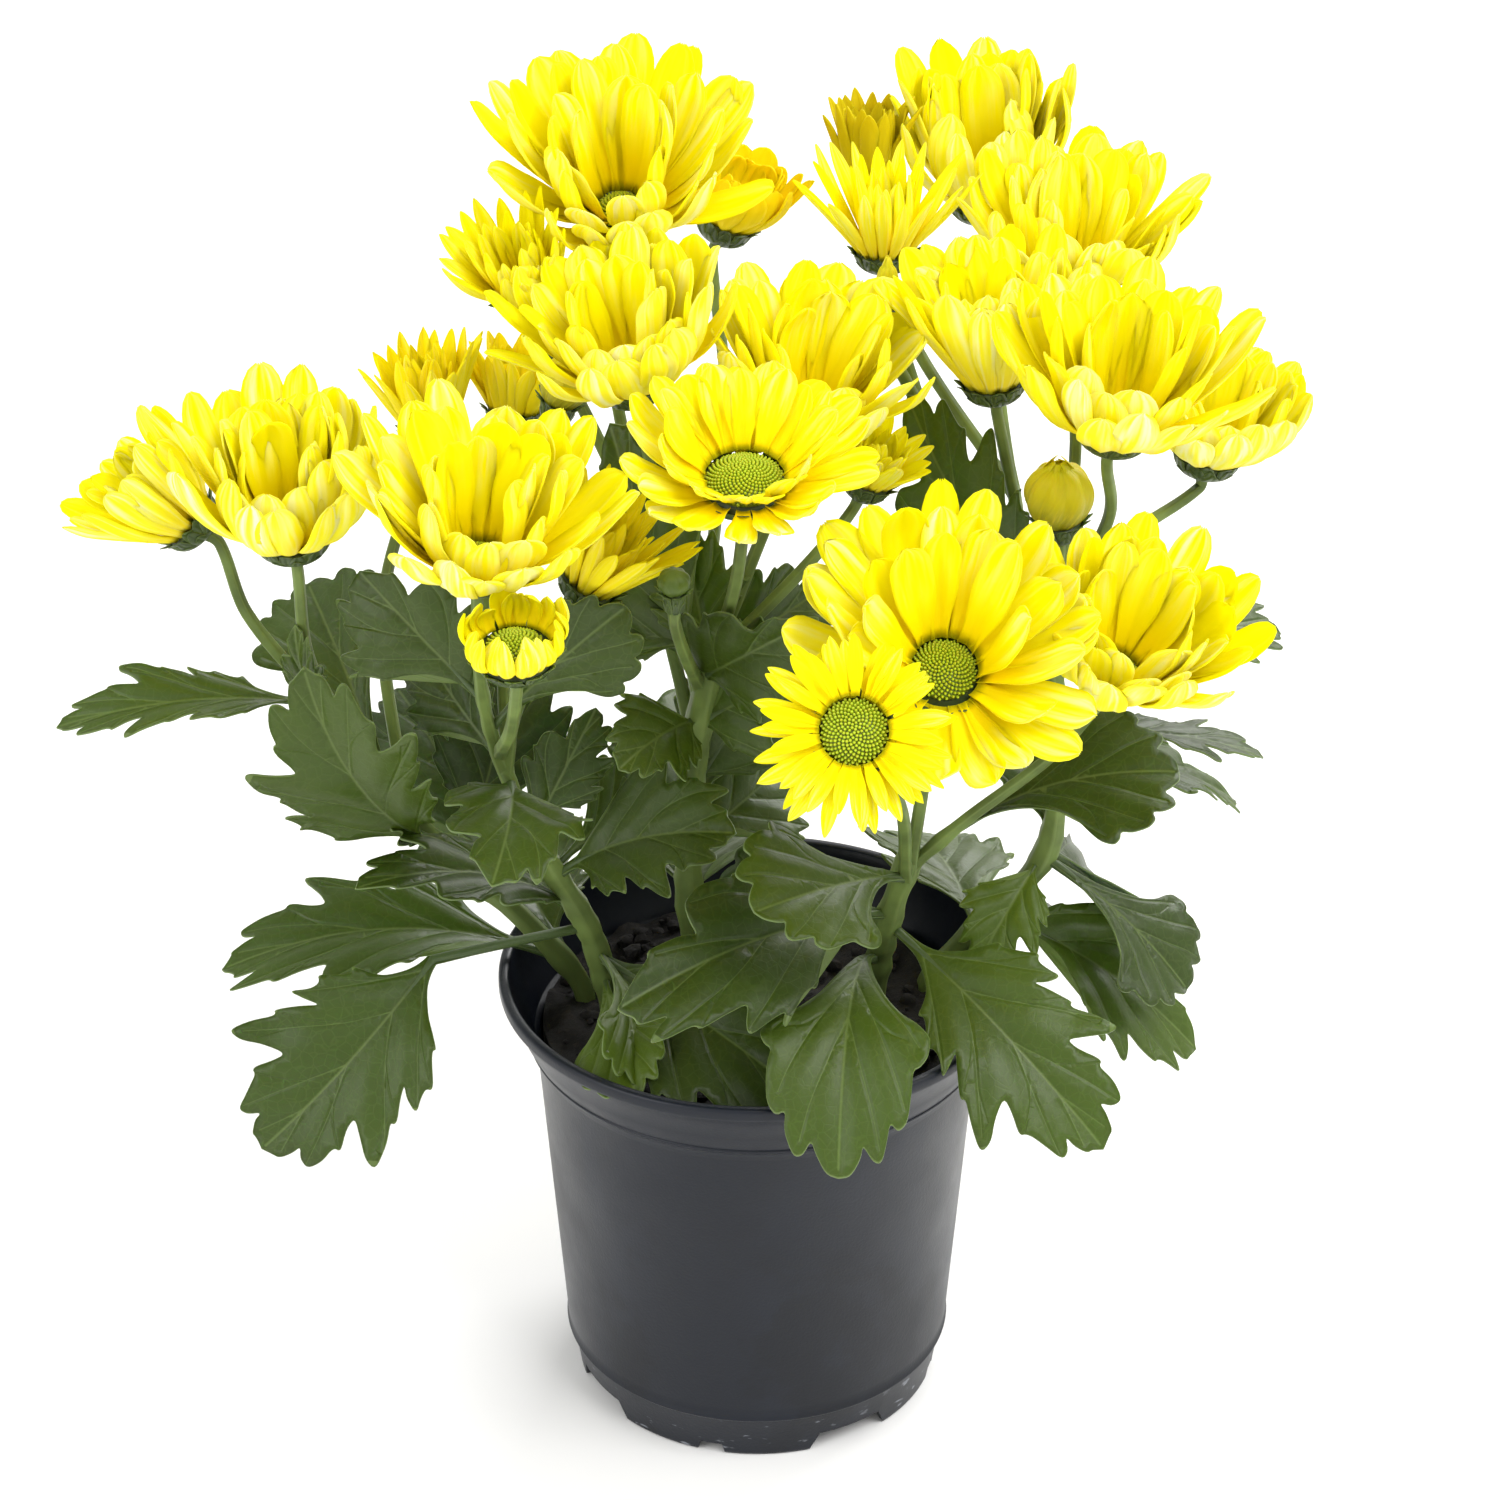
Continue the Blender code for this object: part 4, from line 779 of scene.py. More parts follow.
def petal_points(base, around, rise, length, half, strap, shape):
    """A petal's upper surface as a grid, in the bloom's frame, with the way its upper side looks."""
    out, side = directions(around)
    bend, tip = math.radians(shape["bend"]), math.radians(shape["tip"])
    angles = rise - 0.3 * bend + 1.3 * bend * smoothly(ROW_SHARES, 0.1, 1.0)
    angles = angles + tip * smoothly(ROW_SHARES, 0.68, 1.0)
    steps = np.diff(ROW_SHARES, prepend=0) * length
    run = np.cumsum(steps * np.cos(angles))
    climb = np.cumsum(steps * np.sin(angles))
    width = petal_width(ROW_SHARES, strap) * half
    hollow = (shape["cup"] * (1.15 - 0.55 * ROW_SHARES))[:, None]
    swing = hollow * COLUMN_SHARES
    lateral = width[:, None] * np.sin(swing) / np.sin(hollow)
    lift = width[:, None] * (1 - np.cos(swing)) / np.sin(hollow)
    fold = np.cos(COLUMN_SHARES * PETAL_FOLDS) * shape["ridge"]
    lift = lift - fold * (width * smoothly(ROW_SHARES, 0.05, 0.35))[:, None]
    twist = (shape["twist"] * ROW_SHARES)[:, None]
    sine, cosine = np.sin(twist), np.cos(twist)
    lateral, lift = lateral * cosine - lift * sine, lateral * sine + lift * cosine
    notch = shape["notch"] * length * np.abs(np.sin(COLUMN_SHARES * math.pi * 1.5))
    notch = notch * smoothly(ROW_SHARES, 0.86, 1.0)[:, None]
    sway = (shape["sway"] * length * ROW_SHARES ** 2)[:, None]
    normal = -out * np.sin(angles)[:, None] + UP * np.cos(angles)[:, None]
    forward = out * np.cos(angles)[:, None] + UP * np.sin(angles)[:, None]
    centre = base + out * run[:, None] + UP * climb[:, None]
    points = centre[:, None, :] + side * (lateral + sway)[..., None] + normal[:, None, :] * lift[..., None]
    points = points + forward[:, None, :] * notch[..., None]
    return points, np.broadcast_to(normal[:, None, :], points.shape)


def fit_petal(bloom, base, around, rise, length, half, shape, matrix, walls):
    """Raises a petal and shortens it until it keeps to its own bloom's side of every wall, or nearly so."""
    steepest = min(math.radians(82), rise + math.radians(24))
    shortest = 0.62 * length
    while True:
        points, normals = petal_points(base, around, rise, length, half, bloom.strap, shape)
        world = placed(matrix, points[4::2, ::4]) / MM
        if is_clear(world, walls, -CROWDING) or (rise >= steepest and length <= shortest):
            return points, normals
        rise = min(steepest, rise + math.radians(4))
        length = max(shortest, length * 0.965)


def petal_shape(bloom, chance, curled, level):
    """The bends of one petal. Tips that face the front curl up, and the lowest petals make a bowl."""
    wide = not bloom.strap
    return {
        "bend": bloom.curl + chance.uniform(-12, 12) + 20 * curled + 6 * (1 - level) * wide,
        "tip": chance.uniform(-10, 22) * wide + (10 + 35 * chance.random()) * curled,
        "cup": chance.uniform(0.55, 1.05) if wide else chance.uniform(0.9, 1.3),
        "ridge": chance.uniform(0.05, 0.10) if wide else 0.04,
        "twist": chance.uniform(-0.35, 0.35) + chance.uniform(-0.5, 0.5) * curled,
        "sway": chance.uniform(-0.07, 0.07),
        "notch": chance.choice((0.0, 0.012, 0.025, -0.02)),
    }


def make_petals(bloom, settings, material):
    """All the petals of one bloom in turns round its disc, from the lowest and flattest to the steepest."""
    chance = random.Random(f"{SEED} {bloom.name}")
    hue = random.Random(f"{SEED} pale {bloom.name}")
    matrix = frame_of(bloom)
    walls = walls_round(bloom)
    pieces = Pieces()
    faces = sheet_faces(PETAL_ROWS, PETAL_COLUMNS)
    thick = settings.thickness / MM / 2
    outer, inner = outer_radius(bloom) - 1.0, bloom.disc + 0.5
    along = np.tile(np.repeat(ROW_SHARES, PETAL_COLUMNS), 2)
    across = np.tile(COLUMN_SHARES, PETAL_ROWS * 2)
    under = np.repeat([0.0, 1.0], PETAL_ROWS * PETAL_COLUMNS)
    for turn in range(bloom.turns):
        level = turn / max(1, bloom.turns - 1)
        number = round(bloom.ring * settings.density) - turn * (2 if bloom.turns > 2 else 1)
        for index in range(number):
            share = level + (index / number - 0.5) * 0.3 / bloom.turns
            around = math.tau * (index + 0.5 * turn) / number + chance.uniform(-0.09, 0.09)
            facing = max(0.0, -math.sin(around)) ** 1.5
            radius = outer + (inner - outer) * level
            height = 0.2 + 2.0 * level * math.cos(middle_rise(bloom)) + chance.uniform(0, 0.3)
            curled = bloom.front * facing * smoothly(bloom.high, 50, 66)
            lowered = 16 * bloom.front * facing * smoothly(bloom.high, 40, 56) - 6 * curled
            rise = math.radians(bloom.low + (bloom.high - bloom.low) * share + chance.uniform(-8, 8) - lowered)
            left_open = 0.40 if level == 1 else 0.84
            if bloom.turns > 2 and level > 0 and bloom.front * facing > left_open:
                continue
            uneven = chance.uniform(0.75, 1.20) if bloom.turns == 1 else chance.uniform(0.88, 1.07)
            shorter = (0.28 + 0.30 * level) * bloom.front * facing
            length = bloom.length * uneven * (1 - 0.17 * level) * (1 - shorter)
            size = bloom.width / 2 * chance.uniform(0.80, 1.04) * (0.82 if bloom.strap else 0.98)
            shape = petal_shape(bloom, chance, curled, level)
            # Paleness: a random share that is the petal's own, plus a painted highlight, stronger on petals
            # that face the front and weaker on the inner turns, which stand in shade.
            pale = (hue.random() ** 1.5 + 0.5 * facing) * (0.45 if bloom.strap else 0.95) * (1 - 0.3 * level)
            base = np.array([math.cos(around) * radius, math.sin(around) * radius, height])
            points, normals = fit_petal(bloom, base, around, rise, length, size, shape, matrix, walls)
            both = two_sided(points + normals * thick, points - normals * thick)
            pieces.add(placed(matrix, both), faces, along=along, across=across, under=under,
                       tone=chance.random(), shade=bloom.shade, pale=pale)
    obj = pieces.finish(f"petals_{bloom.name}", material)
    dressed(obj, "petal_yellow", f"petals_{bloom.name}")


# Discs

GOLDEN_ANGLE = 2.399963
DOME_FOOT = 1.0
DOME_RISE = 3.1
DOME_POWER = 2.2
FLORET_SIDES = 6
# Rings of a floret: how wide each is, how high it stands, and how light its colour is; the dark foot is
# painted shade between the florets
FLORET_RINGS = [(0.95, -0.5, 0.0), (1.0, 0.15, 0.45), (0.74, 0.62, 0.85), (0.30, 0.82, 1.0)]


def dome_height(share):
    """Height of the disc's dome at a share of its radius."""
    return DOME_FOOT + DOME_RISE * (1 - share ** DOME_POWER)


def make_disc(bloom, material):
    """The dome of florets: a base coloured dark as painted shade, and a spiral of small rounded florets that
    stand on it.
    """
    chance = random.Random(f"{SEED} disc {bloom.name}")
    matrix = frame_of(bloom)
    pieces = Pieces()
    r = bloom.disc
    sides, rings = 40, 9
    angles = angles_round(sides)
    rows = [ring_points(angles, r * 0.9, 0.35)]
    for share in np.linspace(1, 0.02, rings):
        rows.append(ring_points(angles, r * share, dome_height(share) - 0.5))
    pieces.add(placed(matrix, np.concatenate(rows)), tube_faces(rings + 1, sides), lift=0.0, tone=0.0)
    total = int(26 + r * r * 4.2)
    spacing = r * math.sqrt(1 / total) * 0.98
    corners = angles_round(FLORET_SIDES)[:, None]
    faces = tube_faces(len(FLORET_RINGS), FLORET_SIDES)
    lift = np.repeat([light for _, _, light in FLORET_RINGS], FLORET_SIDES)
    for index in range(total):
        share = math.sqrt((index + 0.5) / total)
        slope = math.atan(DOME_RISE * DOME_POWER * share ** (DOME_POWER - 1) / r)
        out, side = directions(index * GOLDEN_ANGLE)
        up = UP * math.cos(slope) + out * math.sin(slope)
        round_it = np.cos(corners) * side + np.sin(corners) * np.cross(side, up)
        foot = out * r * share * 0.97 + UP * (dome_height(share) - 0.35)
        size = spacing * chance.uniform(0.84, 1.0)
        tall = 0.9 + 0.35 * smoothly(share, 0.4, 1.0) + chance.uniform(-0.08, 0.08)
        points = [foot + round_it * size * wide + up * high * tall for wide, high, _ in FLORET_RINGS]
        pieces.add(placed(matrix, np.concatenate(points)), faces, lift=lift, tone=chance.random())
        pieces.cap(FLORET_SIDES)
    obj = pieces.finish(f"disc_{bloom.name}", material)
    dressed(obj, "floret_green", f"disc_{bloom.name}")


# Buds

PETAL_TIPS = 9
TIP_ROWS = 6
TIP_COLUMNS = 4
# Angle from one gathered petal tip to the next
TIP_TURN = 2.4
TIP_THICKNESS = 0.25


def bud_rows(bud, rows, sides, swirl):
    """Rings of a closed bud: an egg with folds that wind towards its tip."""
    shares = np.linspace(0, 1, rows)
    points = []
    for share in shares:
        body = math.sin(math.pi * (0.16 + 0.78 * share)) ** 0.62
        around = angles_round(sides) + swirl * share
        fold = 1 + 0.16 * np.abs(np.sin(around * 4 - swirl * share * 4 + share * 2)) * (0.4 + share)
        radius = bud.radius * body * fold
        if share > 0.9:
            radius = radius * (1 - 0.45 * (share - 0.9) / 0.1)
        points.append(ring_points(around, radius, bud.height * share + 0.3))
    return np.concatenate(points), np.repeat(shares, sides)


def make_bud(bud, material):
    """A closed yellow bud, with the tips of its petals gathered at the top."""
    matrix = frame_of(bud)
    chance = random.Random(f"{SEED} {bud.name}")
    pieces = Pieces()
    rows, sides = 18, 64
    points, along = bud_rows(bud, rows, sides, 0.8)
    across = np.tile(np.arange(sides) / sides, rows)
    pieces.add(placed(matrix, points), tube_faces(rows, sides), along=along, across=across)
    pieces.cap(sides)
    faces = sheet_faces(TIP_ROWS, TIP_COLUMNS)
    shares = np.linspace(0, 1, TIP_ROWS)
    width = bud.radius * 0.34 * (1 - 0.6 * shares)
    lateral = (width[:, None] * np.linspace(-1, 1, TIP_COLUMNS))[..., None]
    for index in range(PETAL_TIPS):
        out, side = directions(index * TIP_TURN)
        length = bud.height * chance.uniform(0.28, 0.42)
        start = out * bud.radius * 0.62 + UP * bud.height * 0.74
        centre = start - out * (bud.radius * 0.5 * shares ** 1.5)[:, None] + UP * (length * shares)[:, None]
        grid = centre[:, None, :] + side * lateral
        both = two_sided(grid + out * TIP_THICKNESS, grid)
        pieces.add(placed(matrix, both), faces, along=0.9, across=index / PETAL_TIPS)
    obj = pieces.finish(f"petals_{bud.name}", material)
    dressed(obj, "petal_yellow", f"petals_{bud.name}")


# Calyxes

CALYX_DEPTH = 5.0
# Rows of scales: where on the cup they start, how far they reach, and how many there are
SCALE_ROWS = [(0.15, 0.66, 9), (0.36, 0.78, 11), (0.62, 0.80, 12)]
SCALE_THICKNESS = 0.25
# Distance to a vein or a margin, for a surface that has none
FAR_OFF = 3.0


def make_calyx(pieces, head, radius):
    """The green cup under a flower head, covered in rows of small pointed scales."""
    matrix = frame_of(head)
    chance = random.Random(f"{SEED} calyx {head.name}")
    sides, rings = 28, 8
    angles = angles_round(sides)
    shares = np.linspace(0, 1, rings)
    radii = 1.5 + (radius - 2.3) * np.sin(shares * math.pi / 2) ** 0.8
    heights = -CALYX_DEPTH + CALYX_DEPTH * (1 - np.cos(shares * math.pi / 2)) ** 0.9 - 0.15
    rows = [ring_points(angles, r, z) for r, z in zip(radii, heights)]
    pieces.add(placed(matrix, np.concatenate(rows)), tube_faces(rings, sides), vein=FAR_OFF, margin=FAR_OFF,
               under=0.35, tone=0.3)
    pieces.cap(sides)
    steps, columns = np.linspace(0, 1, 7), np.linspace(-1, 1, 5)
    faces = sheet_faces(len(steps), len(columns))[:, ::-1]
    for row, (start, reach, number) in enumerate(SCALE_ROWS):
        width = radius * 2.6 / number * np.sin(math.pi * (0.25 + 0.72 * steps)) ** 0.8
        lateral = width[:, None] * columns
        margin = np.tile((width[:, None] - np.abs(lateral)).ravel(), 2)
        vein = np.tile(np.abs(lateral).ravel() + 0.15, 2)
        for index in range(number):
            out, side = directions(math.tau * (index + 0.5 * row) / number + chance.uniform(-0.1, 0.1))
            at = start + reach * steps * chance.uniform(0.85, 1.05)
            beyond = np.clip(at - 1, 0, 1) * CALYX_DEPTH * 0.9
            r = np.interp(at, shares, radii) + 0.25 + 0.4 * steps ** 2 + beyond
            z = np.interp(at, shares, heights) + beyond
            hug = lateral ** 2 / (2 * np.maximum(r, 2))[:, None]
            grid = out * (r[:, None] - hug)[..., None] + side * lateral[..., None] + UP * z[:, None, None]
            both = two_sided(grid + out * SCALE_THICKNESS, grid)
            pieces.add(placed(matrix, both), faces, vein=vein, margin=margin, under=0.25, tone=chance.random())


def make_green_bud(pieces, bud):
    """A bud still shut in its sepals."""
    rows, sides = 12, 40
    points, along = bud_rows(bud, rows, sides, 0.2)
    pieces.add(placed(frame_of(bud), points), tube_faces(rows, sides), vein=FAR_OFF, margin=0.5 * (1 - along),
               under=0.15, tone=1.6)
    pieces.cap(sides)


# Stalks

STALK_SIDES = 20
ROOT_HEIGHT = 92
SOIL_HEIGHT = 104
# How far under a calyx's top its stalk ends, and from where the stalk runs straight
NECK_END = 4.2
NECK_START = 9.0


def smooth_path(points, parts):
    """A smooth curve through points, with each span in this many parts."""
    points = np.asarray(points, float)
    ends = np.concatenate([[2 * points[0] - points[1]], points, [2 * points[-1] - points[-2]]])
    curve = []
    for before, a, b, after in zip(ends, ends[1:], ends[2:], ends[3:]):
        span = np.linalg.norm(b - a)
        leave = unit(b - before) * span
        arrive = unit(after - a) * span
        for t in np.arange(parts) / parts:
            curve.append((2 * t ** 3 - 3 * t ** 2 + 1) * a + (t ** 3 - 2 * t ** 2 + t) * leave
                         + (-2 * t ** 3 + 3 * t ** 2) * b + (t ** 3 - t ** 2) * arrive)
    curve.append(points[-1])
    return np.array(curve)


def sweep(pieces, path, radii, ribs=5, rib_depth=0.07):
    """A stalk along a curve, with shallow lengthwise ribs."""
    tangents = np.gradient(path, axis=0)
    tangents /= np.linalg.norm(tangents, axis=1)[:, None]
    side = unit(np.cross(tangents[0], [0.3, 1.0, 0.2]))
    angles = angles_round(STALK_SIDES)
    wave = np.cos(angles * ribs)
    rows = []
    for centre, tangent, radius in zip(path, tangents, radii):
        side = unit(side - tangent * side.dot(tangent))
        other = np.cross(tangent, side)
        spread = np.cos(angles)[:, None] * side + np.sin(angles)[:, None] * other
        rows.append(centre + spread * (radius * (1 + rib_depth * wave))[:, None])
    rib = np.tile(wave, len(path))
    along = np.repeat(path[:, 2] * MM, STALK_SIDES)
    pieces.add(np.concatenate(rows) * MM, tube_faces(len(path), STALK_SIDES), rib=rib, along=along)


def swelling(path, places, radius):
    """How much thicker a stalk is where a leaf or another stalk leaves it."""
    extra = np.zeros(len(path))
    for place in places:
        distance = np.linalg.norm(path - np.array(place), axis=1)
        extra = np.maximum(extra, 0.22 * radius * np.exp(-(distance / 3.5) ** 2))
    return extra


def make_stalks(stem, material):
    """The trunk and all the stalks that it carries."""
    pieces = Pieces()
    leaves = [leaf for leaf in LEAVES if leaf.stem == stem.name]
    heads = [head for head in BLOOMS + BUDS if head.stem == stem.name]
    joints = [leaf.root for leaf in leaves] + [head.stalk[0] for head in heads]
    trunk = smooth_path([(*stem.foot, ROOT_HEIGHT), (*stem.foot, SOIL_HEIGHT)] + stem.path, 12)
    radii = np.linspace(stem.radius, stem.radius * 0.78, len(trunk))
    sweep(pieces, trunk, radii + swelling(trunk, joints, stem.radius), ribs=6)
    for head in heads:
        neck = [tuple(Vector(head.calyx) - axis_of(head) * below) for below in (NECK_START, NECK_END)]
        path = smooth_path(head.stalk + neck, 10)
        taper = np.linspace(1.6, 1.3, len(path))
        flare = 0.5 * np.exp(-((len(path) - 1 - np.arange(len(path))) / 4.0) ** 2)
        sweep(pieces, path, taper + flare + swelling(path, joints, 1.8))
    obj = pieces.finish(f"stalks_{stem.name}", material)
    dressed(obj, "leaf_green", f"stem_{stem.name}")


# Leaves

def softened(points, cut):
    """Cuts the corners of an open line a little, so that teeth and notches are not razor sharp."""
    line = [points[0]]
    for a, b in zip(points, points[1:]):
        line.append((a[0] + (b[0] - a[0]) * cut, a[1] + (b[1] - a[1]) * cut))
        line.append((b[0] - (b[0] - a[0]) * cut, b[1] - (b[1] - a[1]) * cut))
    line.append(points[-1])
    return line


def half_outline(edge, chance):
    """One side of a leaf in millimetres on the template, each lobe a little different."""
    phases = [chance.uniform(0, math.tau) for _ in range(3)]
    moved = []
    for share, out in edge:
        if 0.2 < share < 0.99:
            out *= 1 + 0.07 * math.sin(share * 9 + phases[0])
            share += 0.012 * math.sin(out * 8 + phases[1])
        bow = out + 0.012 * math.sin(share * 60 + phases[2]) * (out > 0.2)
        moved.append((share * TEMPLATE_LENGTH, bow * TEMPLATE_HALF))
    return softened(softened(moved, 0.22), 0.25)


def segment_distance(points, line):
    """Distance from each point to an open line."""
    best = np.full(len(points), 1e9)
    for a, b in zip(line, line[1:]):
        a, b = np.array(a), np.array(b)
        along = b - a
        t = np.clip(((points - a) @ along) / max(along @ along, 1e-9), 0, 1)
        best = np.minimum(best, np.linalg.norm(points - a - t[:, None] * along, axis=1))
    return best


def inside_outline(points, outline):
    """Which points lie inside a closed outline."""
    inside = np.zeros(len(points), bool)
    for (x1, y1), (x2, y2) in zip(outline, outline[1:] + outline[:1]):
        crosses = (y1 > points[:, 1]) != (y2 > points[:, 1])
        at = x1 + (points[:, 1] - y1) * (x2 - x1) / (y2 - y1 if y2 != y1 else 1e-9)
        inside ^= crosses & (points[:, 0] < at)
    return inside


def vein_line(points, sign):
    """A vein as a smooth line of points on the template."""
    line = [(share * TEMPLATE_LENGTH, sign * out * TEMPLATE_HALF, 0) for share, out in points]
    return [(x, y) for x, y, _ in smooth_path(line, 4)]


def triangles_of(points, edges, rim):
    """Triangles of a flat leaf, all turned the same way. The first points are its outline."""
    result = delaunay_2d_cdt([Vector(p) for p in points], edges, [list(range(rim))], 1, 1e-5)
    flat = np.array([tuple(v) for v in result[0]])
    faces = [face for face in result[2] if len(face) == 3]
    return flat, np.array([face if flat_area(flat, face) > 0 else face[::-1] for face in faces])


def between_veins(flat, faces, lines):
    """Points halfway along edges that bridge two veins, so that no triangle has the veins' colour all over."""
    pairs = np.concatenate([faces[:, [0, 1]], faces[:, [1, 2]], faces[:, [2, 0]]])
    ends = np.unique(np.sort(pairs, axis=1), axis=0)
    on_vein = np.min([segment_distance(flat, line) for line in lines], axis=0) < 0.05
    ends = ends[on_vein[ends[:, 0]] & on_vein[ends[:, 1]]]
    halfway = (flat[ends[:, 0]] + flat[ends[:, 1]]) / 2
    away = np.min([segment_distance(halfway, line) for line in lines], axis=0)
    return [tuple(p) for p in halfway[away > 0.22]]


def leaf_template(halves, seed):
    """A flat leaf as triangles, with each point's distance from its veins and its margin, in millimetres."""
    chance = random.Random(f"{SEED} leaf {seed}")
    right = half_outline(halves[0][0], chance)
    left = [(x, -y) for x, y in half_outline(halves[1][0], chance)]
    outline = right + left[-2::-1]
    midrib = [(x, 0.0) for x in np.linspace(1.0, TEMPLATE_LENGTH - 1.5, 36)]
    main = [vein_line(line, sign) for half, sign in zip(halves, (1, -1)) for line in half[1]]
    minor = [vein_line(line, sign) for half, sign in zip(halves, (1, -1)) for line in half[2]]
    points, edges = list(outline), []
    for line in [midrib] + main + minor:
        kept = [p for p in line if inside_outline(np.array([p]), outline)[0]]
        first = len(points)
        points.extend(kept)
        edges.extend((first + i, first + i + 1) for i in range(len(kept) - 1))
    spacing = TEMPLATE_SPACING
    fixed = np.array(points)
    grid = []
    for row, x in enumerate(np.arange(spacing, TEMPLATE_LENGTH, spacing * 0.87)):
        for y in np.arange(-TEMPLATE_HALF * 1.2, TEMPLATE_HALF * 1.2, spacing):
            grid.append((x, y + (row % 2) * spacing / 2))
    grid = np.array(grid)
    grid = grid[inside_outline(grid, outline)]
    gap = np.linalg.norm(grid[:, None, :] - fixed[None, :, :], axis=2).min(axis=1)
    points.extend(map(tuple, grid[gap > spacing * 0.55]))
    flat, faces = triangles_of(points, edges, len(outline))
    for _ in range(2):
        points.extend(between_veins(flat, faces, [midrib] + main + minor))
        flat, faces = triangles_of(points, edges, len(outline))
    rib = segment_distance(flat, midrib)
    strong = np.min([segment_distance(flat, line) for line in main], axis=0)
    weak = np.min([segment_distance(flat, line) for line in minor], axis=0)
    return {
        "points": flat,
        "faces": faces,
        "rim": rim_of(faces),
        "vein": np.minimum(np.minimum(rib * 0.5, strong + 0.08), weak * 1.7 + 0.15),
        "ditch": np.minimum(np.minimum(rib, strong), weak + 0.8),
        "margin": segment_distance(flat, outline + outline[:1]),
    }


def flat_area(points, face):
    (x1, y1), (x2, y2), (x3, y3) = points[face[0]], points[face[1]], points[face[2]]
    return (x2 - x1) * (y3 - y1) - (x3 - x1) * (y2 - y1)


def rim_of(faces):
    """The edges that only one triangle has, each in that triangle's direction."""
    edges = {}
    for a, b, c in faces.tolist():
        for pair in ((a, b), (b, c), (c, a)):
            edges[pair] = edges.get(pair, 0) + 1
    return np.array([pair for pair in edges if pair[::-1] not in edges])


def spine_of(leaf, shares):
    """Where a leaf's midrib would run if it were straight, and how far along the blade each point is."""
    root, tip = np.array(leaf.root, float), np.array(leaf.tip, float)
    if leaf.knee is None:
        return root + (tip - root) * shares[:, None], shares, tip - root
    knee = np.array(leaf.knee, float)
    stalk = np.clip(shares / KNEE_SHARE, 0, 1)[:, None]
    blade = np.clip((shares - KNEE_SHARE) / (1 - KNEE_SHARE), 0, 1)
    return root + (knee - root) * stalk + (tip - knee) * blade[:, None], blade, tip - knee


def add_leaf(pieces, leaf, template, settings, chance):
    """Bends the flat template into a leaf: folded at its midrib, arched, waved, puckered between veins."""
    share = template["points"][:, 0] / TEMPLATE_LENGTH
    out = template["points"][:, 1] / TEMPLATE_HALF
    spine, blade, along = spine_of(leaf, share)
    length = np.linalg.norm(along)
    along = along / length
    face = np.array(leaf.face, float)
    face = unit(face - along * face.dot(along))
    across = np.cross(face, along)
    half = out * leaf.width / 2
    scale = leaf.width / 2 / TEMPLATE_HALF
    wave = np.sin(share * 10 + chance.uniform(0, 6) + np.sign(out) * 0.7) * np.abs(out) ** 1.5 * 0.045
    ripple = np.sin(share * 27 + np.abs(out) * 4 + chance.uniform(0, 6)) * np.abs(out) ** 2 * 0.016
    pucker = 0.9 * scale * (1 - np.exp(-(template["ditch"] / 2.6) ** 2))
    droop = -chance.uniform(0.02, 0.16) * np.abs(half) * np.abs(out)
    turn = chance.uniform(-0.30, 0.30) * (blade - 0.3)
    arch = 4 * leaf.droop * length * blade * (1 - blade)
    lift = arch + np.abs(half) * chance.uniform(0.12, 0.30) + (wave + ripple) * leaf.width + pucker + droop
    lift = lift + half * np.sin(turn)
    sway = across * (chance.uniform(-0.05, 0.05) * length * 4 * blade * (1 - blade))[:, None]
    points = spine + sway + across * (half * np.cos(turn))[:, None] + face * lift[:, None]
    thick = settings.thickness / MM / 2
    count = len(points)
    both = two_sided(points + face * thick, points - face * thick) * MM
    rim = template["rim"]
    sides = np.stack([rim[:, 1], rim[:, 0], rim[:, 0] + count, rim[:, 1] + count], -1).tolist()
    faces = template["faces"].tolist() + (template["faces"][:, ::-1] + count).tolist()
    first = pieces.count
    vein, margin = np.tile(template["vein"] * scale, 2), np.tile(template["margin"] * scale, 2)
    tone = chance.random() if leaf.tone is None else leaf.tone
    pieces.add(both, faces, vein=vein, margin=margin, under=np.repeat([0.0, 1.0], count), tone=tone)
    pieces.faces.extend([[first + i for i in side] for side in sides])
    return midrib_under(leaf, template, points, face)


def midrib_under(leaf, template, points, face):
    """The line of a leaf's stalk and midrib, sunk into the blade's lower side, with their radii."""
    share = template["points"][:, 0] / TEMPLATE_LENGTH
    near = np.abs(template["points"][:, 1]) < 0.05
    order = np.argsort(share[near])
    ridge = points[near][order][::3]
    shares = share[near][order][::3]
    keep = shares < 0.93
    sunk = np.interp(shares[keep], [0, 0.12, 0.3], [0.1, 0.3, 0.62])
    thin = np.interp(shares[keep], [0, 0.25, 1], [1.25, 0.85, 0.3]) * min(1.0, leaf.width / 34)
    line = ridge[keep] - face * sunk[:, None]
    if leaf.knee is not None:
        stalk = smooth_path([leaf.root, tuple((np.array(leaf.root) + leaf.knee) / 2 + face), leaf.knee], 5)
        line = np.concatenate([stalk, line[shares[keep] > KNEE_SHARE * 1.3]])
        thin = np.concatenate([np.full(len(stalk), thin[0]), thin[shares[keep] > KNEE_SHARE * 1.3]])
    return line, thin


def make_leaves(stem, settings, templates, material):
    """All the leaves of a stem with their midribs, and the calyxes and green buds that it carries."""
    chance = random.Random(f"{SEED} leaves {stem.name}")
    pieces = Pieces()
    for leaf in LEAVES:
        if leaf.stem == stem.name:
            kind = chance.randrange(len(templates)) if leaf.kind is None else leaf.kind
            rib, thin = add_leaf(pieces, leaf, templates[kind], settings, chance)
            add_rib(pieces, rib, thin)
    for head in BLOOMS + BUDS:
        if head.stem != stem.name:
            continue
        radius = outer_radius(head) if isinstance(head, Bloom) else head.radius * 0.8
        make_calyx(pieces, head, radius)
        if isinstance(head, Bud) and head.green:
            make_green_bud(pieces, head)
    obj = pieces.finish(f"leaves_{stem.name}", material)
    dressed(obj, "leaf_green", f"stem_{stem.name}")


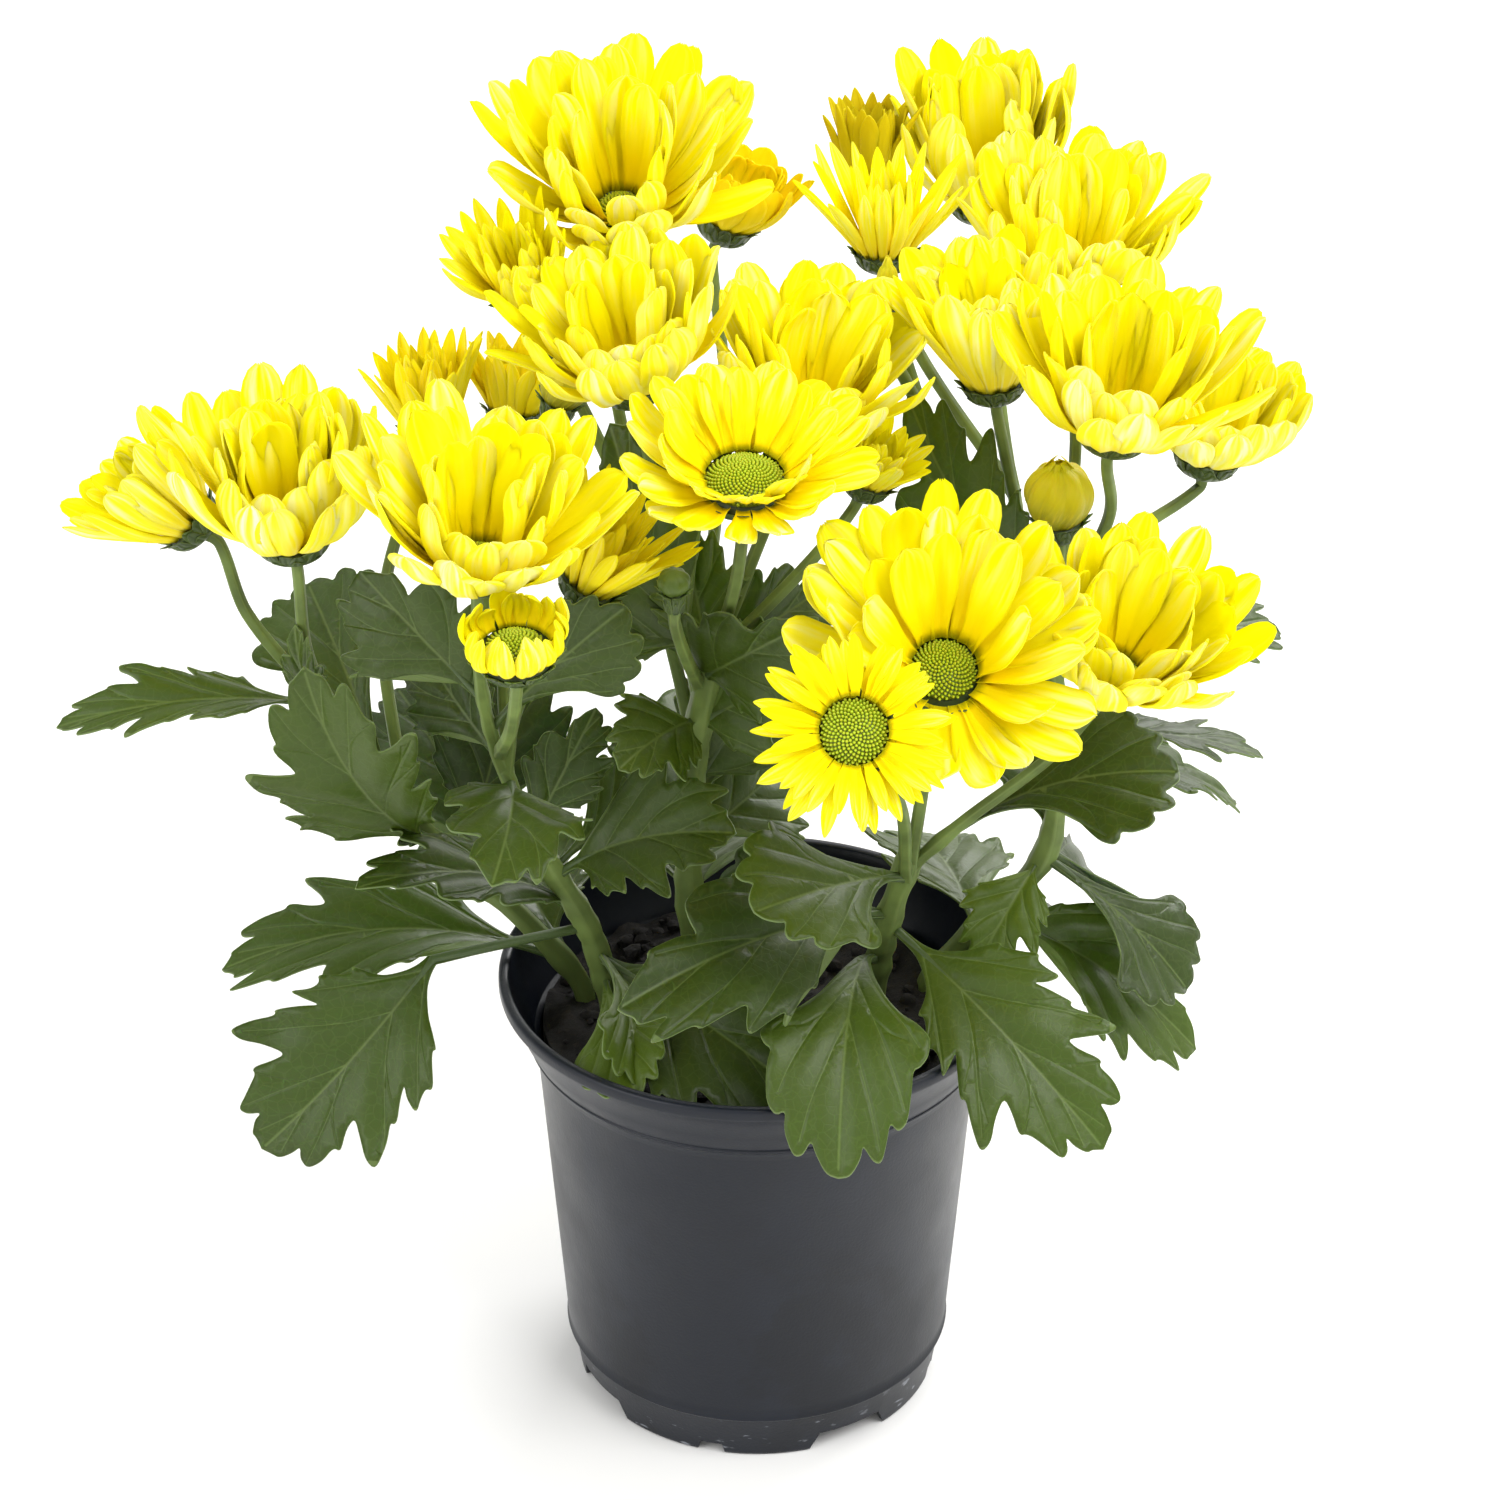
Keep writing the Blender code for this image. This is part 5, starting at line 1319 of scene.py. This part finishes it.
def add_rib(pieces, path, radii):
    """A leaf's stalk, which runs on under the blade as its midrib."""
    ribs = Pieces()
    sweep(ribs, path, radii, ribs=3, rib_depth=0.05)
    points = np.concatenate(ribs.points)
    pieces.add(points, np.array(ribs.faces), vein=0.3, margin=FAR_OFF, under=0.4, tone=0.5)


# Pot and soil

POT_SIDES = 144
# Notches in each quarter of the foot ring: angle in degrees, width and height
NOTCHES = [(-14.5, 7.2, 3.0), (30.5, 22.0, 5.2)]
DRAIN_HOLES = 4
DRAIN_CIRCLE = 32
DRAIN_RADIUS = 4
FLOOR_MIDDLE = 6.7


def lathe(profile, sides):
    """A profile of (radius, height) turned round Z, whose two ends lie on the axis."""
    bm = bmesh.new()
    points = [bm.verts.new((radius * MM, 0, height * MM)) for radius, height in profile]
    edges = [bm.edges.new(pair) for pair in zip(points, points[1:])]
    bmesh.ops.spin(bm, geom=points + edges, axis=(0, 0, 1), cent=(0, 0, 0), angle=math.tau, steps=sides)
    bmesh.ops.remove_doubles(bm, verts=bm.verts, dist=1e-6)
    bmesh.ops.recalc_face_normals(bm, faces=bm.faces)
    return bm


def object_from(bm, name, *materials):
    mesh = bpy.data.meshes.new(name)
    bm.to_mesh(mesh)
    bm.free()
    for material in materials:
        mesh.materials.append(material)
    return linked(name, mesh)


def pot_profile(settings):
    """The pot's rounded section: floor and inner wall out and up, then down the outside to the foot."""
    lip = settings.lip_radius / MM
    top = settings.height / MM
    wall = settings.wall / MM
    inside = [(0, 7.4), (44.6, 7.4), (45.3, 7.7), (45.8, 13), (47.8, 13.8), (48.1, 14.4), (54.6, 100.2),
              (55.0, 100.8), (56.2, 101.1), (56.5, 101.6), (63.5 - wall, top - 2.9),
              (63.5 - wall + 0.15, top - 0.6), (63.5 - wall + 0.6, top - 0.15), (63.2, top)]
    rolled = [(lip - 0.9, top), (lip - 0.35, top - 0.15), (lip - 0.05, top - 0.6), (lip, top - 1.4),
              (lip, top - 2.6), (lip - 0.15, top - 3.2), (lip - 0.6, top - 3.5), (63.9, top - 3.6),
              (63.45, top - 4.0)]
    collar = [(60.2, 106.4), (60.1, 106.0), (57.95, 101.7), (58.15, 101.45), (58.1, 101.1), (57.6, 100.7),
              (57.0, 100.1), (56.5, 99.3), (56.15, 98.4)]
    body = [(55.95, 97.6), (55.8, 97.2), (49.75, 16.8), (49.6, 13.9), (49.9, 13.55), (49.9, 13.15),
            (49.6, 12.8), (49.1, 12.5), (48.7, 12.2), (48.5, 11.8)]
    foot = [(46.8, 1.0), (46.7, 0.3), (46.4, 0), (46.0 - wall, 0), (46.0 - wall + 0.3, 5.6), (44.6, 6),
            (12.4, 6), (12, 5.6), (12, 0.3), (11.7, 0), (0, 0)]
    return inside + rolled + collar + body + foot


def foot_wedge(angle, width, height):
    """A wedge with sloping sides that cuts a notch through the foot ring."""
    bm = bmesh.new()
    bmesh.ops.create_cube(bm, size=1)
    for v in bm.verts:
        narrower = 0.8 if v.co.z > 0 else 1.1
        v.co = Vector((v.co.x * width * narrower, v.co.y * 8 - 46, height if v.co.z > 0 else -2)) * MM
    bmesh.ops.rotate(bm, verts=bm.verts, cent=(0, 0, 0), matrix=Matrix.Rotation(math.radians(angle), 3, "Z"))
    return bm


def make_pot(settings, material):
    """The nursery pot, with the notches in its foot ring and the holes in its floor."""
    pot = object_from(lathe(pot_profile(settings), POT_SIDES), "nursery_pot", material)
    cutters = bmesh.new()
    for quarter in range(4):
        for angle, width, height in NOTCHES:
            wedge = foot_wedge(quarter * 90 + angle, width, height)
            mesh = bpy.data.meshes.new("wedge")
            wedge.to_mesh(mesh)
            wedge.free()
            cutters.from_mesh(mesh)
    for index in range(DRAIN_HOLES):
        out, _ = directions(math.tau * (index + 0.5) / DRAIN_HOLES)
        place = Matrix.Translation(Vector(out * DRAIN_CIRCLE + UP * FLOOR_MIDDLE) * MM)
        bmesh.ops.create_cone(cutters, cap_ends=True, segments=32, radius1=DRAIN_RADIUS * MM,
                              radius2=DRAIN_RADIUS * MM, depth=8 * MM, matrix=place)
    cutter = object_from(cutters, "cutter")
    modifier = pot.modifiers.new("Cuts", "BOOLEAN")
    modifier.operation = "DIFFERENCE"
    modifier.object = cutter
    modifier.solver = "EXACT"
    graph = bpy.context.evaluated_depsgraph_get()
    graph.update()
    mesh = bpy.data.meshes.new_from_object(pot.evaluated_get(graph))
    pot.modifiers.clear()
    pot.data = mesh
    bpy.data.objects.remove(cutter)
    mesh.shade_smooth()
    mesh.set_sharp_from_angle(angle=math.radians(50))
    dressed(pot, "pot_plastic", "pot")


def make_soil(settings, material):
    """The soil's lumpy surface with loose crumbs on it, and its plain sides inside the pot."""
    chance = random.Random(SEED)
    top = settings.top / MM
    surface_line = [(r, top) for r in np.linspace(0, 54.0, 34)]
    side = [(54.2, 100.6), (47.7, 14.6), (46.4, 13.4), (44.4, 7.8), (0, 7.8)]
    bm = lathe(surface_line + side, 120)
    waves = [(chance.uniform(0.05, 0.9), chance.uniform(0, math.tau), chance.uniform(0, math.tau))
             for _ in range(26)]
    for v in bm.verts:
        x, y, z = v.co / MM
        if z > top - 1:
            rough = sum(math.sin((x * math.cos(a) + y * math.sin(a)) * k + p) / (1 + 3 * k)
                        for k, a, p in waves)
            v.co.z += (rough * 0.55 + chance.uniform(-0.35, 0.35)) * MM
    surface = object_from(bm, "potting_soil", material)
    crumbs = bmesh.new()
    for _ in range(settings.crumbs):
        radius = 51 * math.sqrt(chance.random())
        around = chance.uniform(0, math.tau)
        size = chance.choice((0.7, 0.9, 1.2, 1.6, 2.3))
        place = Matrix.Translation(Vector((math.cos(around) * radius, math.sin(around) * radius,
                                           top + size * 0.2)) * MM)
        turn = Matrix.Rotation(chance.uniform(0, 3), 4, Vector((chance.random(), chance.random(), 1)))
        made = bmesh.ops.create_icosphere(crumbs, subdivisions=1, radius=size * MM, matrix=place @ turn)
        middle = place.translation
        squash = chance.uniform(0.5, 0.9)
        for v in made["verts"]:
            away = v.co - middle
            away *= chance.uniform(0.78, 1.15)
            away.z *= squash
            v.co = middle + away
    loose = object_from(crumbs, "crumbs", material)
    joined = bmesh.new()
    joined.from_mesh(surface.data)
    joined.from_mesh(loose.data)
    joined.to_mesh(surface.data)
    joined.free()
    bpy.data.objects.remove(loose)
    surface.data.shade_smooth()
    surface.data.set_sharp_from_angle(angle=math.radians(45))
    dressed(surface, "potting_soil", "soil")


# Operators

class PotOperator(bpy.types.Operator):
    """Build the nursery pot"""

    bl_idname = "chrysanthemum.pot"
    bl_label = "Build pot"

    def execute(self, context):
        settings = context.scene.chrysanthemum_pot
        make_pot(settings, plastic_finish(settings))
        return {"FINISHED"}


class SoilOperator(bpy.types.Operator):
    """Fill the pot with soil"""

    bl_idname = "chrysanthemum.soil"
    bl_label = "Build soil"

    def execute(self, context):
        settings = context.scene.chrysanthemum_soil
        make_soil(settings, soil_finish(settings))
        return {"FINISHED"}


class StalksOperator(bpy.types.Operator):
    """Grow the trunks and the stalks"""

    bl_idname = "chrysanthemum.stalks"
    bl_label = "Build stalks"

    def execute(self, context):
        material = stalk_finish(context.scene.chrysanthemum_foliage)
        for stem in STEMS:
            make_stalks(stem, material)
        return {"FINISHED"}


class LeavesOperator(bpy.types.Operator):
    """Grow the leaves and the calyxes"""

    bl_idname = "chrysanthemum.leaves"
    bl_label = "Build leaves"

    def execute(self, context):
        settings = context.scene.chrysanthemum_foliage
        material = leaf_finish(settings)
        templates = [leaf_template(halves, number) for number, halves in enumerate(LEAF_KINDS)]
        for stem in STEMS:
            make_leaves(stem, settings, templates, material)
        return {"FINISHED"}


class PetalsOperator(bpy.types.Operator):
    """Open the blooms and set the buds"""

    bl_idname = "chrysanthemum.petals"
    bl_label = "Build petals"

    def execute(self, context):
        settings = context.scene.chrysanthemum_bloom
        petal = petal_finish(settings)
        shut = bud_finish()
        for bloom in BLOOMS:
            make_petals(bloom, settings, petal)
        for bud in BUDS:
            if not bud.green:
                make_bud(bud, shut)
        return {"FINISHED"}


class DiscsOperator(bpy.types.Operator):
    """Fill the middle of each bloom with florets"""

    bl_idname = "chrysanthemum.discs"
    bl_label = "Build discs"

    def execute(self, context):
        material = floret_finish(context.scene.chrysanthemum_bloom)
        for bloom in BLOOMS:
            if not bloom.closed:
                make_disc(bloom, material)
        return {"FINISHED"}


CAMERA_PLACE = (-0.0018, -0.8729, 0.6679)
CAMERA_AIM = (0, 0.8729, -0.4879)
SENSOR_WIDTH = 36
# Section of the floor and the wall that it rises into: how far back and how high
STAGE_SECTION = [(-3.0, 0.0), (1.4, 0.0), (1.9, 0.06), (2.3, 0.28), (2.6, 0.7), (2.7, 1.3), (2.7, 3.2)]
STAGE_HALF_WIDTH = 4.0
FLOOR_DROP = 0.0002


def area_light(name, power, size, place, target):
    data = bpy.data.lights.new(name, "AREA")
    data.energy = power
    data.shape = "RECTANGLE"
    data.size, data.size_y = size
    obj = linked(name, data)
    obj.location = place
    obj.rotation_euler = (Vector(target) - Vector(place)).to_track_quat("-Z", "Y").to_euler()


def make_floor(settings):
    """A pale floor that curves up into a wall behind the plant."""
    bm = bmesh.new()
    ends = (-STAGE_HALF_WIDTH, STAGE_HALF_WIDTH)
    rows = [[bm.verts.new((x, y, z - FLOOR_DROP)) for x in ends] for y, z in STAGE_SECTION]
    for a, b in zip(rows, rows[1:]):
        bm.faces.new((a[0], a[1], b[1], b[0]))
    f = Finish("floor", 0.7, Specular_IOR_Level=0.2)
    f.colour(f.mix(f.noise(f.place(), 3.0, 2.0), settings.floor, scaled(settings.floor, 1.03)))
    floor = object_from(bm, "floor", f.material)
    floor.data.shade_smooth()


def light_stage(scene, settings):
    """Three large lights and an even white light from all round."""
    area_light("key", settings.key, (1.2, 1.0), (0.9, -0.7, 1.5), (0, 0, 0.2))
    area_light("fill", settings.fill, (1.2, 1.2), (-1.3, -0.9, 0.9), (0, 0, 0.15))
    area_light("back", settings.key * 1.1, (1.4, 0.8), (0.8, 1.2, 1.1), (0, 0, 0.2))
    world = bpy.data.worlds.new("studio")
    world.use_nodes = True
    background = world.node_tree.nodes["Background"]
    background.inputs["Color"].default_value = (1, 1, 1, 1)
    background.inputs["Strength"].default_value = settings.sky
    scene.world = world
    scene.view_settings.view_transform = "Standard"


def aim_camera(scene, settings):
    """A camera that sees the plant from where the photo was taken."""
    data = bpy.data.cameras.new("camera")
    data.lens = settings.lens
    data.sensor_width = SENSOR_WIDTH
    data.clip_start = 0.01
    camera = linked("camera", data)
    camera.location = CAMERA_PLACE
    camera.rotation_euler = Vector(CAMERA_AIM).to_track_quat("-Z", "Y").to_euler()
    scene.camera = camera


class StageOperator(bpy.types.Operator):
    """Set the floor, the lights and the camera"""

    bl_idname = "chrysanthemum.stage"
    bl_label = "Build stage"

    def execute(self, context):
        settings = context.scene.chrysanthemum_stage
        make_floor(settings)
        light_stage(context.scene, settings)
        aim_camera(context.scene, settings)
        return {"FINISHED"}


class PlantPanel(bpy.types.Panel):
    """Lists the steps that build the plant"""

    bl_idname = "VIEW3D_PT_chrysanthemum"
    bl_label = "Pot chrysanthemum"
    bl_space_type = "VIEW_3D"
    bl_region_type = "UI"
    bl_category = "Pot plant"

    def draw(self, context):
        for operator in OPERATORS:
            self.layout.operator(operator.bl_idname)


SETTINGS = {
    "chrysanthemum_pot": PotSettings,
    "chrysanthemum_soil": SoilSettings,
    "chrysanthemum_foliage": FoliageSettings,
    "chrysanthemum_bloom": BloomSettings,
    "chrysanthemum_stage": StageSettings,
}
OPERATORS = (PotOperator, SoilOperator, StalksOperator, LeavesOperator, PetalsOperator, DiscsOperator,
             StageOperator)


def register():
    for name, group in SETTINGS.items():
        bpy.utils.register_class(group)
        setattr(bpy.types.Scene, name, bpy.props.PointerProperty(type=group))
    for operator in OPERATORS:
        bpy.utils.register_class(operator)
    bpy.utils.register_class(PlantPanel)


def unregister():
    bpy.utils.unregister_class(PlantPanel)
    for operator in reversed(OPERATORS):
        bpy.utils.unregister_class(operator)
    for name, group in SETTINGS.items():
        delattr(bpy.types.Scene, name)
        bpy.utils.unregister_class(group)


def main():
    register()
    bpy.ops.chrysanthemum.pot()
    bpy.ops.chrysanthemum.soil()
    bpy.ops.chrysanthemum.stalks()
    bpy.ops.chrysanthemum.leaves()
    bpy.ops.chrysanthemum.petals()
    bpy.ops.chrysanthemum.discs()
    bpy.ops.chrysanthemum.stage()
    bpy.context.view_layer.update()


if __name__ == "__main__":
    main()
